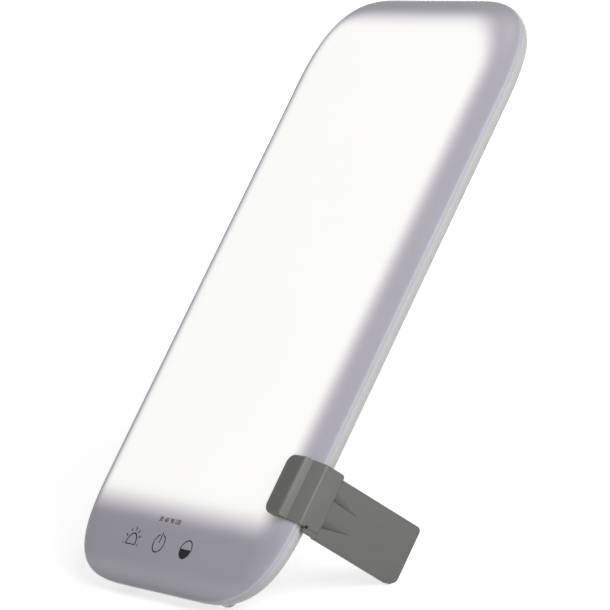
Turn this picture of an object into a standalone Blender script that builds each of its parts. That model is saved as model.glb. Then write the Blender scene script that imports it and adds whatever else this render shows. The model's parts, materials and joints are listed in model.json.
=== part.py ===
"""Slim light therapy lamp: an opal light panel that leans back on two rear feet and a clip-on folding leg.

Everything is modelled upright in the panel's own directions: X across, Y from the front face to the back
(called depth), Z up the panel (called rise). An empty then leans the whole lamp back onto the table.
"""

import math

import bmesh
import bpy
from mathutils import Matrix, Vector

# Panel: outline, front face and rim
PANEL_HEIGHT = 0.3000
PANEL_WIDTH = 0.1643
CORNER_LENGTH = 0.0529
CORNER_POWER = 3.0
RIM_DEPTH = 0.0120
FRONT_ROLL_WIDTH = 0.0162
FRONT_ROLL_DEPTH = 0.0046
BACK_ROLL = 0.0062
SEAM_DEPTH = 0.0050
COVER_WALL = 0.0018
LEAN = math.radians(41.66)

# Clearances shared by all pieces
GAP = 0.0003
OVERRUN = 0.0010
WELD_DISTANCE = 0.000003

# Back cover: wall, tongue in the seam and raised crown
BACK_WALL = 0.0020
TONGUE_CLEARANCE = 0.0013
TONGUE_WALL = 0.0012
TONGUE_LENGTH = 0.0006
CROWN_WIDTH = 0.1220
CROWN_TOP_MARGIN = 0.0220
CROWN_ABOVE_CLIP = 0.0090
CROWN_DEPTH = 0.0100
CROWN_CORNER = 0.0180
CROWN_CORNER_POWER = 2.0
CROWN_DRAFT = 0.0010
CROWN_ROLL = 0.0035
RIB_WIDTH = 0.0016
RIB_FROM_CROWN = 0.0008
RIB_END_MARGIN = 0.0040

# Cover screws
SCREW_INSET = 0.0101
SCREW_SIDE_RISES_SHARE = (0.283, -0.187)
SCREW_TOP_SPREAD = 0.0280
SCREW_LOW_SPREAD = 0.0180
SCREW_HEAD_RADIUS = 0.0023
SCREW_HEAD_HEIGHT = 0.0010
SCREW_SHANK_RADIUS = 0.0011
SCREW_LENGTH = 0.0070
COUNTERBORE_DEPTH = 0.0012
HEAD_CLEARANCE = 0.0006
BOSS_RADIUS = 0.0027
BOSS_ROOT = 0.0016

# Optical stack, front to back
GUIDE_SIDE_MARGIN = 0.01715
GUIDE_TOP_MARGIN = 0.0195
LIP_THICKNESS = 0.0006
LIP_LENGTH = 0.0020
LIP_CLEARANCE = 0.0006
RAIL_WALL = 0.0020
RAIL_END_MARGIN = 0.0060
SHEET_THICKNESS = 0.0004
GUIDE_THICKNESS = 0.0030
SPREADER_THICKNESS = 0.0010
STRIP_THICKNESS = 0.0008
STRIP_HEIGHT = 0.0042
STRIP_END_MARGIN = 0.0020
CHIP_THICKNESS = 0.0008
CHIP_HEIGHT = 0.0028
CHIP_LENGTH = 0.0035
CHIP_COUNT = 24

# Control board behind the touch marks
MARK_RISE = 0.0207
MARK_PLACES = (-0.0312, -0.0084, 0.0156)
TIMER_RISE = 0.0320
TIMER_START = -0.0147
TIMER_PITCH = 0.00474
TIMER_COUNT = 4
BOARD_THICKNESS = 0.0012
BOARD_STANDOFF = 0.0042
CONTROL_BOARD_LOW = 0.0138
CONTROL_BOARD_HEIGHT = 0.0265
CONTROL_BOARD_TOP_MARGIN = 0.0077
CONTROL_BOARD_SIDE = 0.0110
CONTROL_HOLE_INSET = 0.0032
TOUCH_PAD_RADIUS = 0.0040
BLOCK_MARGIN = 0.0032
BLOCK_HOLE_RADIUS = 0.0012
TIMER_LED_SIZE = 0.0014
TIMER_LED_HEIGHT = 0.0006
TIMER_BAR_THICKNESS = 0.0004
TOUCH_CHIP_SIZE = 0.0060
TOUCH_CHIP_HEIGHT = 0.0010
TOUCH_CHIP_DROP = 0.0080
TOUCH_CHIP_X = 0.0042

# Driver board in the crown
DRIVER_WIDTH = 0.0840
DRIVER_HEIGHT = 0.0400
DRIVER_THICKNESS = 0.0016
DRIVER_DEPTH = 0.0104
DRIVER_HOLE_INSET = 0.0040
DRIVER_POST_RADIUS = 0.0025
SOCKET_X = -0.0240
SOCKET_WIDTH = 0.0094
SOCKET_LENGTH = 0.0140
SOCKET_BORE_RADIUS = 0.0029
SOCKET_BORE_LENGTH = 0.0100
SOCKET_PIN_RADIUS = 0.0010
SOCKET_PIN_RECESS = 0.0010
INLET_RADIUS = 0.0032
COIL_X = 0.0160
COIL_RADIUS = 0.0064
COIL_CORE_RADIUS = 0.0030
COIL_FLANGE = 0.0012
COIL_HEIGHT = 0.0064
CAPACITOR_RADIUS = 0.0034
CAPACITOR_HEIGHT = 0.0068
CAPACITOR_X = -0.0060
CAPACITOR_PITCH = 0.0100
DRIVER_CHIP_SIZE = 0.0060
DRIVER_CHIP_HEIGHT = 0.0016
DRIVER_CHIP_SHARE = 0.39

# Small screws that hold the two boards
BOARD_SCREW_HEAD_RADIUS = 0.0017
BOARD_SCREW_HEAD_HEIGHT = 0.0008
BOARD_SCREW_RADIUS = 0.0008
BOARD_SCREW_LENGTH = 0.0036
POST_RADIUS = 0.0022

# Leads inside the panel
LEAD_RADIUS = 0.00025
LEAD_X = 0.0330
LEAD_LOW = 0.0030
CABLE_WIDTH = 0.0060
CABLE_THICKNESS = 0.0003
CABLE_BEND = 0.0040

# Rear feet
FOOT_RADIUS = 0.0060
FOOT_HEIGHT = 0.0056
FOOT_ROUNDING = 0.0015
FOOT_X = 0.0400
FOOT_RISE = 0.0090
FOOT_FLAT = 0.0005
FOOT_STUD_RADIUS = 0.0020

# Clip on the right-hand rim
CLIP_RISE = 0.0430
CLIP_HEIGHT = 0.0280
CLIP_SIDE_WALL = 0.0026
CLIP_BACK_WALL = 0.0017
CLIP_CREASE_DEPTH = 0.0037
CLIP_REACH = 0.0197
CLIP_BAND = 0.0062
CLIP_BAND_DEPTH = 0.0001
CLIP_PAD_HEIGHT = 0.0042
CLIP_PAD_DRAFT = 0.0007
CLIP_PAD_CORNER = 0.0045
NOTCH_LENGTH = 0.0015
NOTCH_HEIGHT = 0.0013
NOTCH_DEPTH = 0.0020
LINER_THICKNESS = 0.0008
POCKET_DEPTH = 0.0014
LINER_LENGTH = 0.0200
LINER_FRONT_START = 0.0020
LINER_FRONT_WIDTH = 0.0080
LINER_BACK_START = 0.0030
LINER_BACK_WIDTH = 0.0080

# Folding leg and its hinge
LEG_WIDTH = 0.0285
LEG_DROP = 0.0025
LEG_PLATE = 0.0041
LEG_TOP_CORNER = 0.0022
LEG_LOW_CORNER = 0.0046
LEG_FLAT = 0.0003
TAB_LENGTH = 0.0076
TAB_HEIGHT = 0.0019
RECESS_DEPTH = 0.0018
RECESS_TOP = 0.0220
RECESS_LOW = 0.0050
RECESS_APEX_RISE = 0.0145
RECESS_REACH = 0.0224
TONGUE_RADIUS = 0.0046
PIN_RADIUS = 0.0015
PIN_HEAD_RADIUS = 0.0026
PIN_HEAD_HEIGHT = 0.0009
PIN_INSET = 0.0090
KNUCKLE_RADIUS = 0.0040
EAR_HEIGHT = 0.0040
EAR_TOP_DROP = 0.0030
WASHER_THICKNESS = 0.0005
WASHER_RADIUS = 0.0034

# Facet counts
CORNER_STEPS = 8
ROLL_STEPS = 5
SMALL_ROLL_STEPS = 3
SMALL_SIDES = 12
ROUND_SIDES = 24

# Places that follow from the sizes above
HALF_HEIGHT = PANEL_HEIGHT / 2
HALF_WIDTH = PANEL_WIDTH / 2
BACK_INNER = RIM_DEPTH - BACK_WALL
CLIP_LOW = -HALF_HEIGHT + CLIP_RISE
CLIP_TOP = CLIP_LOW + CLIP_HEIGHT
CROWN_LOW = CLIP_TOP + CROWN_ABOVE_CLIP
CROWN_TOP = HALF_HEIGHT - CROWN_TOP_MARGIN
CROWN_BACK = RIM_DEPTH + CROWN_DEPTH
CROWN_CEILING = CROWN_BACK - BACK_WALL
GUIDE_HALF_WIDTH = HALF_WIDTH - GUIDE_SIDE_MARGIN
GUIDE_TOP = HALF_HEIGHT - GUIDE_TOP_MARGIN
CONTROL_ZONE = CONTROL_BOARD_LOW + CONTROL_BOARD_HEIGHT + CONTROL_BOARD_TOP_MARGIN
GUIDE_LOW = -HALF_HEIGHT + CONTROL_ZONE
RAIL_FRONT = COVER_WALL + LIP_CLEARANCE
DIFFUSER_DEPTH = RAIL_FRONT + LIP_THICKNESS + GAP
GUIDE_DEPTH = DIFFUSER_DEPTH + SHEET_THICKNESS + GAP
REFLECTOR_DEPTH = GUIDE_DEPTH + GUIDE_THICKNESS + GAP
SPREADER_DEPTH = REFLECTOR_DEPTH + SHEET_THICKNESS + GAP
SPREADER_BACK = SPREADER_DEPTH + SPREADER_THICKNESS
GUIDE_MIDDLE = GUIDE_DEPTH + GUIDE_THICKNESS / 2
STRIP_X = GUIDE_HALF_WIDTH + CHIP_THICKNESS + GAP
FLANGE_X = STRIP_X + STRIP_THICKNESS + GAP
BOARD_DEPTH = COVER_WALL + BOARD_STANDOFF
DRIVER_BACK = DRIVER_DEPTH + DRIVER_THICKNESS
DRIVER_LOW = CROWN_LOW + BACK_WALL + CROWN_ROLL
HINGE_X = HALF_WIDTH + GAP + CLIP_SIDE_WALL - PIN_INSET
CLIP_SIDE_X = HALF_WIDTH + GAP + CLIP_SIDE_WALL
CLIP_BACK = RIM_DEPTH + GAP + CLIP_BACK_WALL
HINGE_DEPTH = CLIP_BACK + GAP + KNUCKLE_RADIUS
LEG_LOW = CLIP_LOW - LEG_DROP
LEG_TOP = LEG_LOW + LEG_WIDTH
LEG_ROOT = CLIP_BACK + GAP

# Turns a curve drawn in its own plane so that it runs along depth and rise
CURVE_TO_DEPTH_RISE = Matrix(((0, 0, 1, 0), (1, 0, 0, 0), (0, 1, 0, 0), (0, 0, 0, 1)))


def rise_and_depth_to_height(rise, depth):
    """Height above the panel's centre, once the panel leans back."""
    return rise * math.cos(LEAN) - depth * math.sin(LEAN)


def foot_lowest():
    """Lowest height of a rear foot's rounded back edge."""
    rise = -HALF_HEIGHT + FOOT_RISE - FOOT_RADIUS + FOOT_ROUNDING
    depth = RIM_DEPTH + FOOT_HEIGHT - FOOT_ROUNDING
    return rise_and_depth_to_height(rise, depth) - FOOT_ROUNDING


FLOOR = foot_lowest() + FOOT_FLAT


def leg_end():
    """Depth at which the leg's rounded low corner meets the floor."""
    rise = LEG_LOW + LEG_LOW_CORNER
    height = FLOOR - LEG_FLAT + LEG_LOW_CORNER
    depth = (rise * math.cos(LEAN) - height) / math.sin(LEAN)
    return depth + LEG_LOW_CORNER


LEG_END = leg_end()


def make_collection(name):
    collection = bpy.data.collections.new(name)
    bpy.context.scene.collection.children.link(collection)
    return collection


def make_material(name, color, roughness, metallic=0.0, glow=0.0):
    material = bpy.data.materials.new(name)
    material.use_nodes = True
    shader = material.node_tree.nodes["Principled BSDF"]
    shader.inputs["Base Color"].default_value = (*color, 1.0)
    shader.inputs["Roughness"].default_value = roughness
    shader.inputs["Metallic"].default_value = metallic
    shader.inputs["Emission Color"].default_value = (*color, 1.0)
    shader.inputs["Emission Strength"].default_value = glow
    return material


def object_of(name, shape, sharp=35.0):
    """An object from a bmesh, its faces pointing out and its round faces shaded smooth."""
    bmesh.ops.recalc_face_normals(shape, faces=shape.faces)
    mesh = bpy.data.meshes.new(name)
    shape.to_mesh(mesh)
    shape.free()
    mesh.shade_smooth()
    mesh.set_sharp_from_angle(angle=math.radians(sharp))
    return bpy.data.objects.new(name, mesh)


def add_box(shape, low, high):
    """A box between two corners given as (x, depth, rise)."""
    size = [b - a for a, b in zip(low, high)]
    middle = [(a + b) / 2 for a, b in zip(low, high)]
    place = Matrix.Translation(middle) @ Matrix.Diagonal((*size, 1.0))
    return bmesh.ops.create_cube(shape, size=1.0, matrix=place)["verts"]


def add_rod(shape, start, end, radius, sides=SMALL_SIDES):
    """A cylinder between two points."""
    start, end = Vector(start), Vector(end)
    turn = (end - start).to_track_quat("Z", "Y").to_matrix().to_4x4()
    place = Matrix.Translation((start + end) / 2) @ turn
    bmesh.ops.create_cone(
        shape,
        cap_ends=True,
        segments=sides,
        radius1=radius,
        radius2=radius,
        depth=(end - start).length,
        matrix=place,
    )


def add_loft(shape, rings):
    """A closed body through rings of equal point counts, capped at both ends."""
    loops = [[shape.verts.new(point) for point in ring] for ring in rings]
    count = len(loops[0])
    for one, other in zip(loops, loops[1:]):
        for index in range(count):
            after = (index + 1) % count
            shape.faces.new((one[index], one[after], other[after], other[index]))
    shape.faces.new(reversed(loops[0]))
    shape.faces.new(loops[-1])


def outline(half_width, half_height, corner, power, middle=0.0):
    """Points (x, rise) of a rectangle with superellipse corners."""
    points = []
    for quarter in range(4):
        side_x = 1 if quarter in (0, 3) else -1
        side_z = 1 if quarter in (0, 1) else -1
        for step in range(CORNER_STEPS + 1):
            angle = math.radians(90.0) * (quarter + step / CORNER_STEPS)
            across = corner * abs(math.cos(angle)) ** (2 / power)
            along = corner * abs(math.sin(angle)) ** (2 / power)
            x = side_x * (half_width - corner + across)
            points.append((x, middle + side_z * (half_height - corner + along)))
    return points


def panel_ring(inset, depth):
    points = outline(HALF_WIDTH - inset, HALF_HEIGHT - inset, CORNER_LENGTH - inset, CORNER_POWER)
    return [(x, depth, rise) for x, rise in points]


def crown_ring(inset, depth):
    middle = (CROWN_LOW + CROWN_TOP) / 2
    half_height = (CROWN_TOP - CROWN_LOW) / 2
    half_width = CROWN_WIDTH / 2 - inset
    points = outline(half_width, half_height - inset, CROWN_CORNER - inset, CROWN_CORNER_POWER, middle)
    return [(x, depth, rise) for x, rise in points]


def front_roll(offset=0.0):
    """Pairs (inset, depth) from the seam round the edge to the front face, set off outwards."""
    pairs = []
    for step in range(ROLL_STEPS + 1):
        angle = math.radians(90.0) * step / ROLL_STEPS
        inset = FRONT_ROLL_WIDTH * (1 - math.cos(angle)) - offset * math.cos(angle)
        depth = FRONT_ROLL_DEPTH * (1 - math.sin(angle)) - offset * math.sin(angle)
        pairs.append((inset, depth))
    return pairs


def back_roll(offset=0.0):
    """Pairs (inset, depth) from the rim's side round to its back, set off outwards."""
    pairs = []
    for step in range(ROLL_STEPS + 1):
        angle = math.radians(90.0) * step / ROLL_STEPS
        inset = BACK_ROLL * (1 - math.cos(angle)) - offset * math.cos(angle)
        depth = RIM_DEPTH - BACK_ROLL * (1 - math.sin(angle)) + offset * math.sin(angle)
        pairs.append((inset, depth))
    return pairs


def prism(name, points, low, high, plane, sharp=35.0):
    """A flat outline given thickness: a filled 2D curve, made a mesh and welded.

    plane "x_depth" runs up the panel, "x_rise" runs through it and "depth_rise" runs across it.
    """
    curve = bpy.data.curves.new(name, "CURVE")
    curve.dimensions = "2D"
    curve.fill_mode = "BOTH"
    curve.extrude = (high - low) / 2
    spline = curve.splines.new("POLY")
    spline.points.add(len(points) - 1)
    spline.use_cyclic_u = True
    for point, (a, b) in zip(spline.points, points):
        point.co = (a, b, 0.0, 1.0)
    middle = (low + high) / 2
    turns = {
        "x_depth": (Matrix.Identity(4), (0.0, 0.0, middle)),
        "x_rise": (Matrix.Rotation(math.radians(90.0), 4, "X"), (0.0, middle, 0.0)),
        "depth_rise": (CURVE_TO_DEPTH_RISE, (middle, 0.0, 0.0)),
    }
    turn, shift = turns[plane]
    return mesh_from_curve(name, curve, Matrix.Translation(shift) @ turn, sharp)


def mesh_from_curve(name, curve, place, sharp=35.0):
    holder = bpy.data.objects.new(name, curve)
    bpy.context.scene.collection.objects.link(holder)
    graph = bpy.context.evaluated_depsgraph_get()
    mesh = bpy.data.meshes.new_from_object(holder.evaluated_get(graph))
    bpy.data.objects.remove(holder)
    bpy.data.curves.remove(curve)
    shape = bmesh.new()
    shape.from_mesh(mesh)
    bpy.data.meshes.remove(mesh)
    bmesh.ops.remove_doubles(shape, verts=shape.verts, dist=WELD_DISTANCE)
    shape.transform(place)
    return object_of(name, shape, sharp)


def smooth_path(points, steps):
    """Points along a smooth curve through the route's own points."""
    places = [Vector(point) for point in points]
    ends = [places[0] * 2 - places[1], *places, places[-1] * 2 - places[-2]]
    path = []
    for a, b, c, d in zip(ends, ends[1:], ends[2:], ends[3:]):
        for step in range(steps):
            t = step / steps
            bend = (a * 2 - b * 5 + c * 4 - d) * t**2 + (b * 3 - a - c * 3 + d) * t**3
            path.append((b * 2 + (c - a) * t + bend) / 2)
    path.append(places[-1])
    return path


def tube(name, points, radius, steps=6):
    """A round lead along a smooth route."""
    path = smooth_path(points, steps)
    curve = bpy.data.curves.new(name, "CURVE")
    curve.dimensions = "3D"
    curve.bevel_depth = radius
    curve.bevel_resolution = 2
    curve.use_fill_caps = True
    spline = curve.splines.new("POLY")
    spline.points.add(len(path) - 1)
    for point, place in zip(spline.points, path):
        point.co = (*place, 1.0)
    return mesh_from_curve(name, curve, Matrix.Identity(4))


class Lamp:
    """Holds the collections, the empties that carry each moving body and the finished pieces."""

    def __init__(self):
        self.parts = make_collection("light_therapy_lamp")
        self.tools = make_collection("cutters")
        self.frame = self.empty("lean_axis", (0.0, 0.0, 0.0), None)
        self.frame.rotation_euler = (-LEAN, 0.0, 0.0)
        self.clip_slide = self.empty("clip_slide_axis", (HALF_WIDTH, HINGE_DEPTH, CLIP_LOW), self.frame)
        hinge = (HINGE_X - HALF_WIDTH, 0.0, 0.0)
        self.leg_hinge = self.empty("leg_hinge_axis", hinge, self.clip_slide)
        self.offsets = {
            self.frame: Vector((0.0, 0.0, 0.0)),
            self.clip_slide: Vector((HALF_WIDTH, HINGE_DEPTH, CLIP_LOW)),
            self.leg_hinge: Vector((HINGE_X, HINGE_DEPTH, CLIP_LOW)),
        }

    def empty(self, name, place, parent):
        item = bpy.data.objects.new(name, None)
        item.empty_display_size = RIM_DEPTH
        item.location = place
        item.parent = parent
        self.parts.objects.link(item)
        return item

    def carry(self, item, carrier):
        """Parents a piece to the empty that moves it, and keeps its place in the panel's directions."""
        item.parent = carrier
        item.matrix_parent_inverse = Matrix.Translation(-self.offsets[carrier])

    def add(self, item, material, carrier=None):
        item.data.materials.clear()
        item.data.materials.append(material)
        self.parts.objects.link(item)
        self.carry(item, carrier or self.frame)
        return item

    def tool(self, item, carrier=None):
        self.tools.objects.link(item)
        self.carry(item, carrier or self.frame)
        item.hide_render = True
        item.display_type = "WIRE"
        return item

    def combine(self, item, tool, operation):
        modifier = item.modifiers.new(tool.name, "BOOLEAN")
        modifier.operation = operation
        modifier.solver = "EXACT"
        modifier.object = self.tool(tool, item.parent)

    def cut(self, item, tool):
        self.combine(item, tool, "DIFFERENCE")

    def unite(self, item, tool):
        self.combine(item, tool, "UNION")


def screw_places():
    """Places (x, rise) of the cover screws: two down each side, two at the top and two at the bottom."""
    side = HALF_WIDTH - SCREW_INSET
    end = HALF_HEIGHT - SCREW_INSET
    places = [(sign * side, share * PANEL_HEIGHT) for share in SCREW_SIDE_RISES_SHARE for sign in (-1, 1)]
    places += [(sign * SCREW_TOP_SPREAD, end) for sign in (-1, 1)]
    places += [(sign * SCREW_LOW_SPREAD, -end) for sign in (-1, 1)]
    return places


def control_board_span():
    """Low and high x of the control board, set by the touch marks."""
    return MARK_PLACES[0] - CONTROL_BOARD_SIDE, MARK_PLACES[-1] + CONTROL_BOARD_SIDE


def control_holes():
    low, high = control_board_span()
    bottom = -HALF_HEIGHT + CONTROL_BOARD_LOW
    top = bottom + CONTROL_BOARD_HEIGHT
    inset = CONTROL_HOLE_INSET
    return [(low + inset, top - inset), (high - inset, bottom + inset)]


def driver_holes():
    x = DRIVER_WIDTH / 2 - DRIVER_HOLE_INSET
    rises = (DRIVER_LOW + DRIVER_HOLE_INSET, DRIVER_LOW + DRIVER_HEIGHT - DRIVER_HOLE_INSET)
    return [(sign * x, rise) for sign in (-1, 1) for rise in rises]


def rods(name, places, start, end, radius, sides=SMALL_SIDES):
    """One object of equal rods through the panel, at each (x, rise)."""
    shape = bmesh.new()
    for x, rise in places:
        add_rod(shape, (x, start, rise), (x, end, rise), radius, sides)
    return object_of(name, shape)


def build_front_cover(lamp, opal):
    outer = [panel_ring(inset, depth) for inset, depth in reversed(front_roll())]
    rings = [*outer, panel_ring(0.0, SEAM_DEPTH), panel_ring(COVER_WALL, SEAM_DEPTH)]
    for step in range(1, ROLL_STEPS + 1):
        angle = math.radians(90.0) * step / ROLL_STEPS
        inset = COVER_WALL + FRONT_ROLL_WIDTH * (1 - math.cos(angle))
        depth = COVER_WALL + (SEAM_DEPTH - COVER_WALL) * (1 - math.sin(angle))
        rings.append(panel_ring(inset, depth))
    shape = bmesh.new()
    add_loft(shape, rings)
    cover = lamp.add(object_of("front_cover", shape), opal)
    places = screw_places()
    lamp.unite(cover, rods("cover_bosses", places, BOSS_ROOT, BACK_INNER - GAP, BOSS_RADIUS))
    tip = RIM_DEPTH - COUNTERBORE_DEPTH - SCREW_LENGTH
    lamp.cut(cover, rods("boss_pilots", places, tip - OVERRUN, RIM_DEPTH, SCREW_SHANK_RADIUS + GAP))


def build_back_cover(lamp, white):
    shape = bmesh.new()
    tongue = COVER_WALL + TONGUE_CLEARANCE
    start = SEAM_DEPTH + GAP
    end = SEAM_DEPTH - TONGUE_LENGTH
    rings = [panel_ring(tongue, end), panel_ring(tongue, start), panel_ring(0.0, start)]
    rings += [panel_ring(inset, depth) for inset, depth in back_roll()]
    add_loft(shape, rings)
    cover = lamp.add(object_of("back_cover", shape), white)

    shape = bmesh.new()
    roll = [(CROWN_DRAFT, CROWN_BACK - CROWN_ROLL)]
    for step in range(1, SMALL_ROLL_STEPS + 1):
        angle = math.radians(90.0) * step / SMALL_ROLL_STEPS
        inset = CROWN_DRAFT + CROWN_ROLL * (1 - math.cos(angle))
        roll.append((inset, CROWN_BACK - CROWN_ROLL * (1 - math.sin(angle))))
    rings = [crown_ring(0.0, RIM_DEPTH - OVERRUN)] + [crown_ring(inset, depth) for inset, depth in roll]
    add_loft(shape, rings)
    lamp.unite(cover, object_of("crown", shape))

    shape = bmesh.new()
    wall = tongue + TONGUE_WALL
    open_end = SEAM_DEPTH - TONGUE_LENGTH - OVERRUN
    rings = [panel_ring(wall, open_end), panel_ring(wall, RIM_DEPTH - BACK_ROLL)]
    rings.append(panel_ring(BACK_ROLL, BACK_INNER))
    add_loft(shape, rings)
    lamp.cut(cover, object_of("tray_hollow", shape))

    shape = bmesh.new()
    wall = BACK_WALL
    roll_start = CROWN_BACK - CROWN_ROLL
    rings = [crown_ring(wall, BACK_INNER - OVERRUN), crown_ring(wall + CROWN_DRAFT, roll_start)]
    rings.append(crown_ring(wall + CROWN_DRAFT + CROWN_ROLL / 2, CROWN_CEILING))
    add_loft(shape, rings)
    lamp.cut(cover, object_of("crown_hollow", shape))

    # Ribs that carry the heat spreader and posts that carry the two boards
    shape = bmesh.new()
    for sign in (-1, 1):
        x = sign * (CROWN_WIDTH / 2 + RIB_FROM_CROWN)
        low = (min(x, x + sign * RIB_WIDTH), SPREADER_BACK + GAP, GUIDE_LOW + RIB_END_MARGIN)
        high = (max(x, x + sign * RIB_WIDTH), BACK_INNER + OVERRUN, GUIDE_TOP - RIB_END_MARGIN)
        add_box(shape, low, high)
    for x, rise in driver_holes():
        add_rod(shape, (x, DRIVER_BACK + GAP, rise), (x, CROWN_CEILING + OVERRUN, rise), DRIVER_POST_RADIUS)
    for x, rise in control_holes():
        start = BOARD_DEPTH + BOARD_THICKNESS + GAP
        add_rod(shape, (x, start, rise), (x, BACK_INNER + OVERRUN, rise), POST_RADIUS)
    lamp.unite(cover, object_of("ribs_and_posts", shape))

    shape = bmesh.new()
    for x, rise in screw_places():
        seat = RIM_DEPTH - COUNTERBORE_DEPTH
        shank, head = SCREW_SHANK_RADIUS + GAP, SCREW_HEAD_RADIUS + HEAD_CLEARANCE
        hole = [(shank, BACK_INNER - OVERRUN), (shank, seat), (head, seat), (head, RIM_DEPTH + OVERRUN)]
        add_turned(shape, hole, (x, 0.0, rise))
    lamp.cut(cover, object_of("cover_screw_holes", shape))

    shape = bmesh.new()
    radius = BOARD_SCREW_RADIUS + GAP
    for x, rise in driver_holes():
        start = DRIVER_BACK - OVERRUN
        add_rod(shape, (x, start, rise), (x, DRIVER_DEPTH + BOARD_SCREW_LENGTH + OVERRUN, rise), radius)
    for x, rise in control_holes():
        start = BOARD_DEPTH + BOARD_THICKNESS - OVERRUN
        add_rod(shape, (x, start, rise), (x, BOARD_DEPTH + BOARD_SCREW_LENGTH + OVERRUN, rise), radius)
    for sign in (-1, 1):
        place = (sign * FOOT_X, -HALF_HEIGHT + FOOT_RISE)
        start = (place[0], BACK_INNER - OVERRUN, place[1])
        add_rod(shape, start, (place[0], RIM_DEPTH + OVERRUN, place[1]), FOOT_STUD_RADIUS + GAP)
    depth = socket_depth()
    end = CROWN_LOW + BACK_WALL + CROWN_ROLL
    start = CROWN_LOW - OVERRUN
    add_rod(shape, (SOCKET_X, depth, start), (SOCKET_X, depth, end), INLET_RADIUS, ROUND_SIDES)
    lamp.cut(cover, object_of("pilot_and_inlet_holes", shape))


def build_screws(lamp, steel):
    """Eight cover screws with flat heads."""
    seat = RIM_DEPTH - COUNTERBORE_DEPTH + GAP
    screw = [(SCREW_HEAD_RADIUS, SCREW_HEAD_HEIGHT), (SCREW_HEAD_RADIUS, 0.0)]
    screw += [(SCREW_SHANK_RADIUS, 0.0), (SCREW_SHANK_RADIUS, -SCREW_LENGTH)]
    for number, (x, rise) in enumerate(screw_places(), 1):
        shape = bmesh.new()
        add_turned(shape, screw, (x, seat, rise))
        lamp.add(object_of(f"cover_screw_{number}", shape), steel)


def add_turned(shape, profile, place, sides=SMALL_SIDES):
    """A turned body along the depth direction: profile (radius, depth) from back end to front end."""
    x, depth, rise = place
    rings = []
    for radius, along in profile:
        ring = []
        for step in range(sides):
            angle = math.radians(360.0) * step / sides
            ring.append((x + radius * math.cos(angle), depth + along, rise + radius * math.sin(angle)))
        rings.append(ring)
    add_loft(shape, rings)


def build_optics(lamp, materials):
    """Diffuser, light guide, reflector and heat spreader, with the rails at their ends."""
    half = GUIDE_HALF_WIDTH
    plates = (
        ("diffuser_sheet", DIFFUSER_DEPTH, SHEET_THICKNESS, materials["film"]),
        ("light_guide", GUIDE_DEPTH, GUIDE_THICKNESS, materials["acrylic"]),
        ("reflector_sheet", REFLECTOR_DEPTH, SHEET_THICKNESS, materials["mirror_film"]),
    )
    for name, depth, thickness, material in plates:
        shape = bmesh.new()
        add_box(shape, (-half, depth, GUIDE_LOW), (half, depth + thickness, GUIDE_TOP))
        lamp.add(object_of(name, shape), material)

    shape = bmesh.new()
    outer = FLANGE_X + SPREADER_THICKNESS
    add_box(shape, (-outer, SPREADER_DEPTH, GUIDE_LOW), (outer, SPREADER_BACK, GUIDE_TOP))
    spreader = lamp.add(object_of("heat_spreader", shape), materials["aluminium"])
    shape = bmesh.new()
    front = GUIDE_MIDDLE - STRIP_HEIGHT / 2
    for low, high in ((-outer, -FLANGE_X), (FLANGE_X, outer)):
        middle = SPREADER_DEPTH + SPREADER_THICKNESS / 2
        rises = (GUIDE_LOW + GAP, GUIDE_TOP - GAP)
        add_box(shape, (low, front, rises[0]), (high, middle, rises[1]))
    lamp.unite(spreader, object_of("spreader_flanges", shape))

    for name, edge, way in (("guide_rail_top", GUIDE_TOP, 1), ("guide_rail_bottom", GUIDE_LOW, -1)):
        web = (edge + way * GAP, edge + way * (GAP + RAIL_WALL))
        lip = (RAIL_FRONT, RAIL_FRONT + LIP_THICKNESS)
        back = SPREADER_BACK
        inner = edge - way * LIP_LENGTH
        profile = [(lip[0], inner), (lip[0], web[1]), (back, web[1])]
        profile += [(back, web[0]), (lip[1], web[0]), (lip[1], inner)]
        reach = half - RAIL_END_MARGIN
        lamp.add(prism(name, profile, -reach, reach, "depth_rise"), materials["frame_white"])


def build_strips(lamp, board):
    """An LED strip on each flange, its LEDs facing the edge of the light guide."""
    low = GUIDE_LOW + STRIP_END_MARGIN
    high = GUIDE_TOP - STRIP_END_MARGIN
    pitch = (high - low) / CHIP_COUNT
    for side, sign in (("left", -1), ("right", 1)):
        xs = sorted((sign * STRIP_X, sign * (STRIP_X + STRIP_THICKNESS)))
        shape = bmesh.new()
        depths = (GUIDE_MIDDLE - STRIP_HEIGHT / 2, GUIDE_MIDDLE + STRIP_HEIGHT / 2)
        add_box(shape, (xs[0], depths[0], low), (xs[1], depths[1], high))
        strip = lamp.add(object_of("led_strip_" + side, shape), board)

        shape = bmesh.new()
        xs = sorted((sign * (STRIP_X - CHIP_THICKNESS), sign * (STRIP_X + STRIP_THICKNESS / 2)))
        for index in range(CHIP_COUNT):
            middle = low + pitch * (index + 0.5)
            start = (xs[0], GUIDE_MIDDLE - CHIP_HEIGHT / 2, middle - CHIP_LENGTH / 2)
            end = (xs[1], GUIDE_MIDDLE + CHIP_HEIGHT / 2, middle + CHIP_LENGTH / 2)
            add_box(shape, start, end)
        lamp.unite(strip, object_of("led_chips_" + side, shape))


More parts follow.
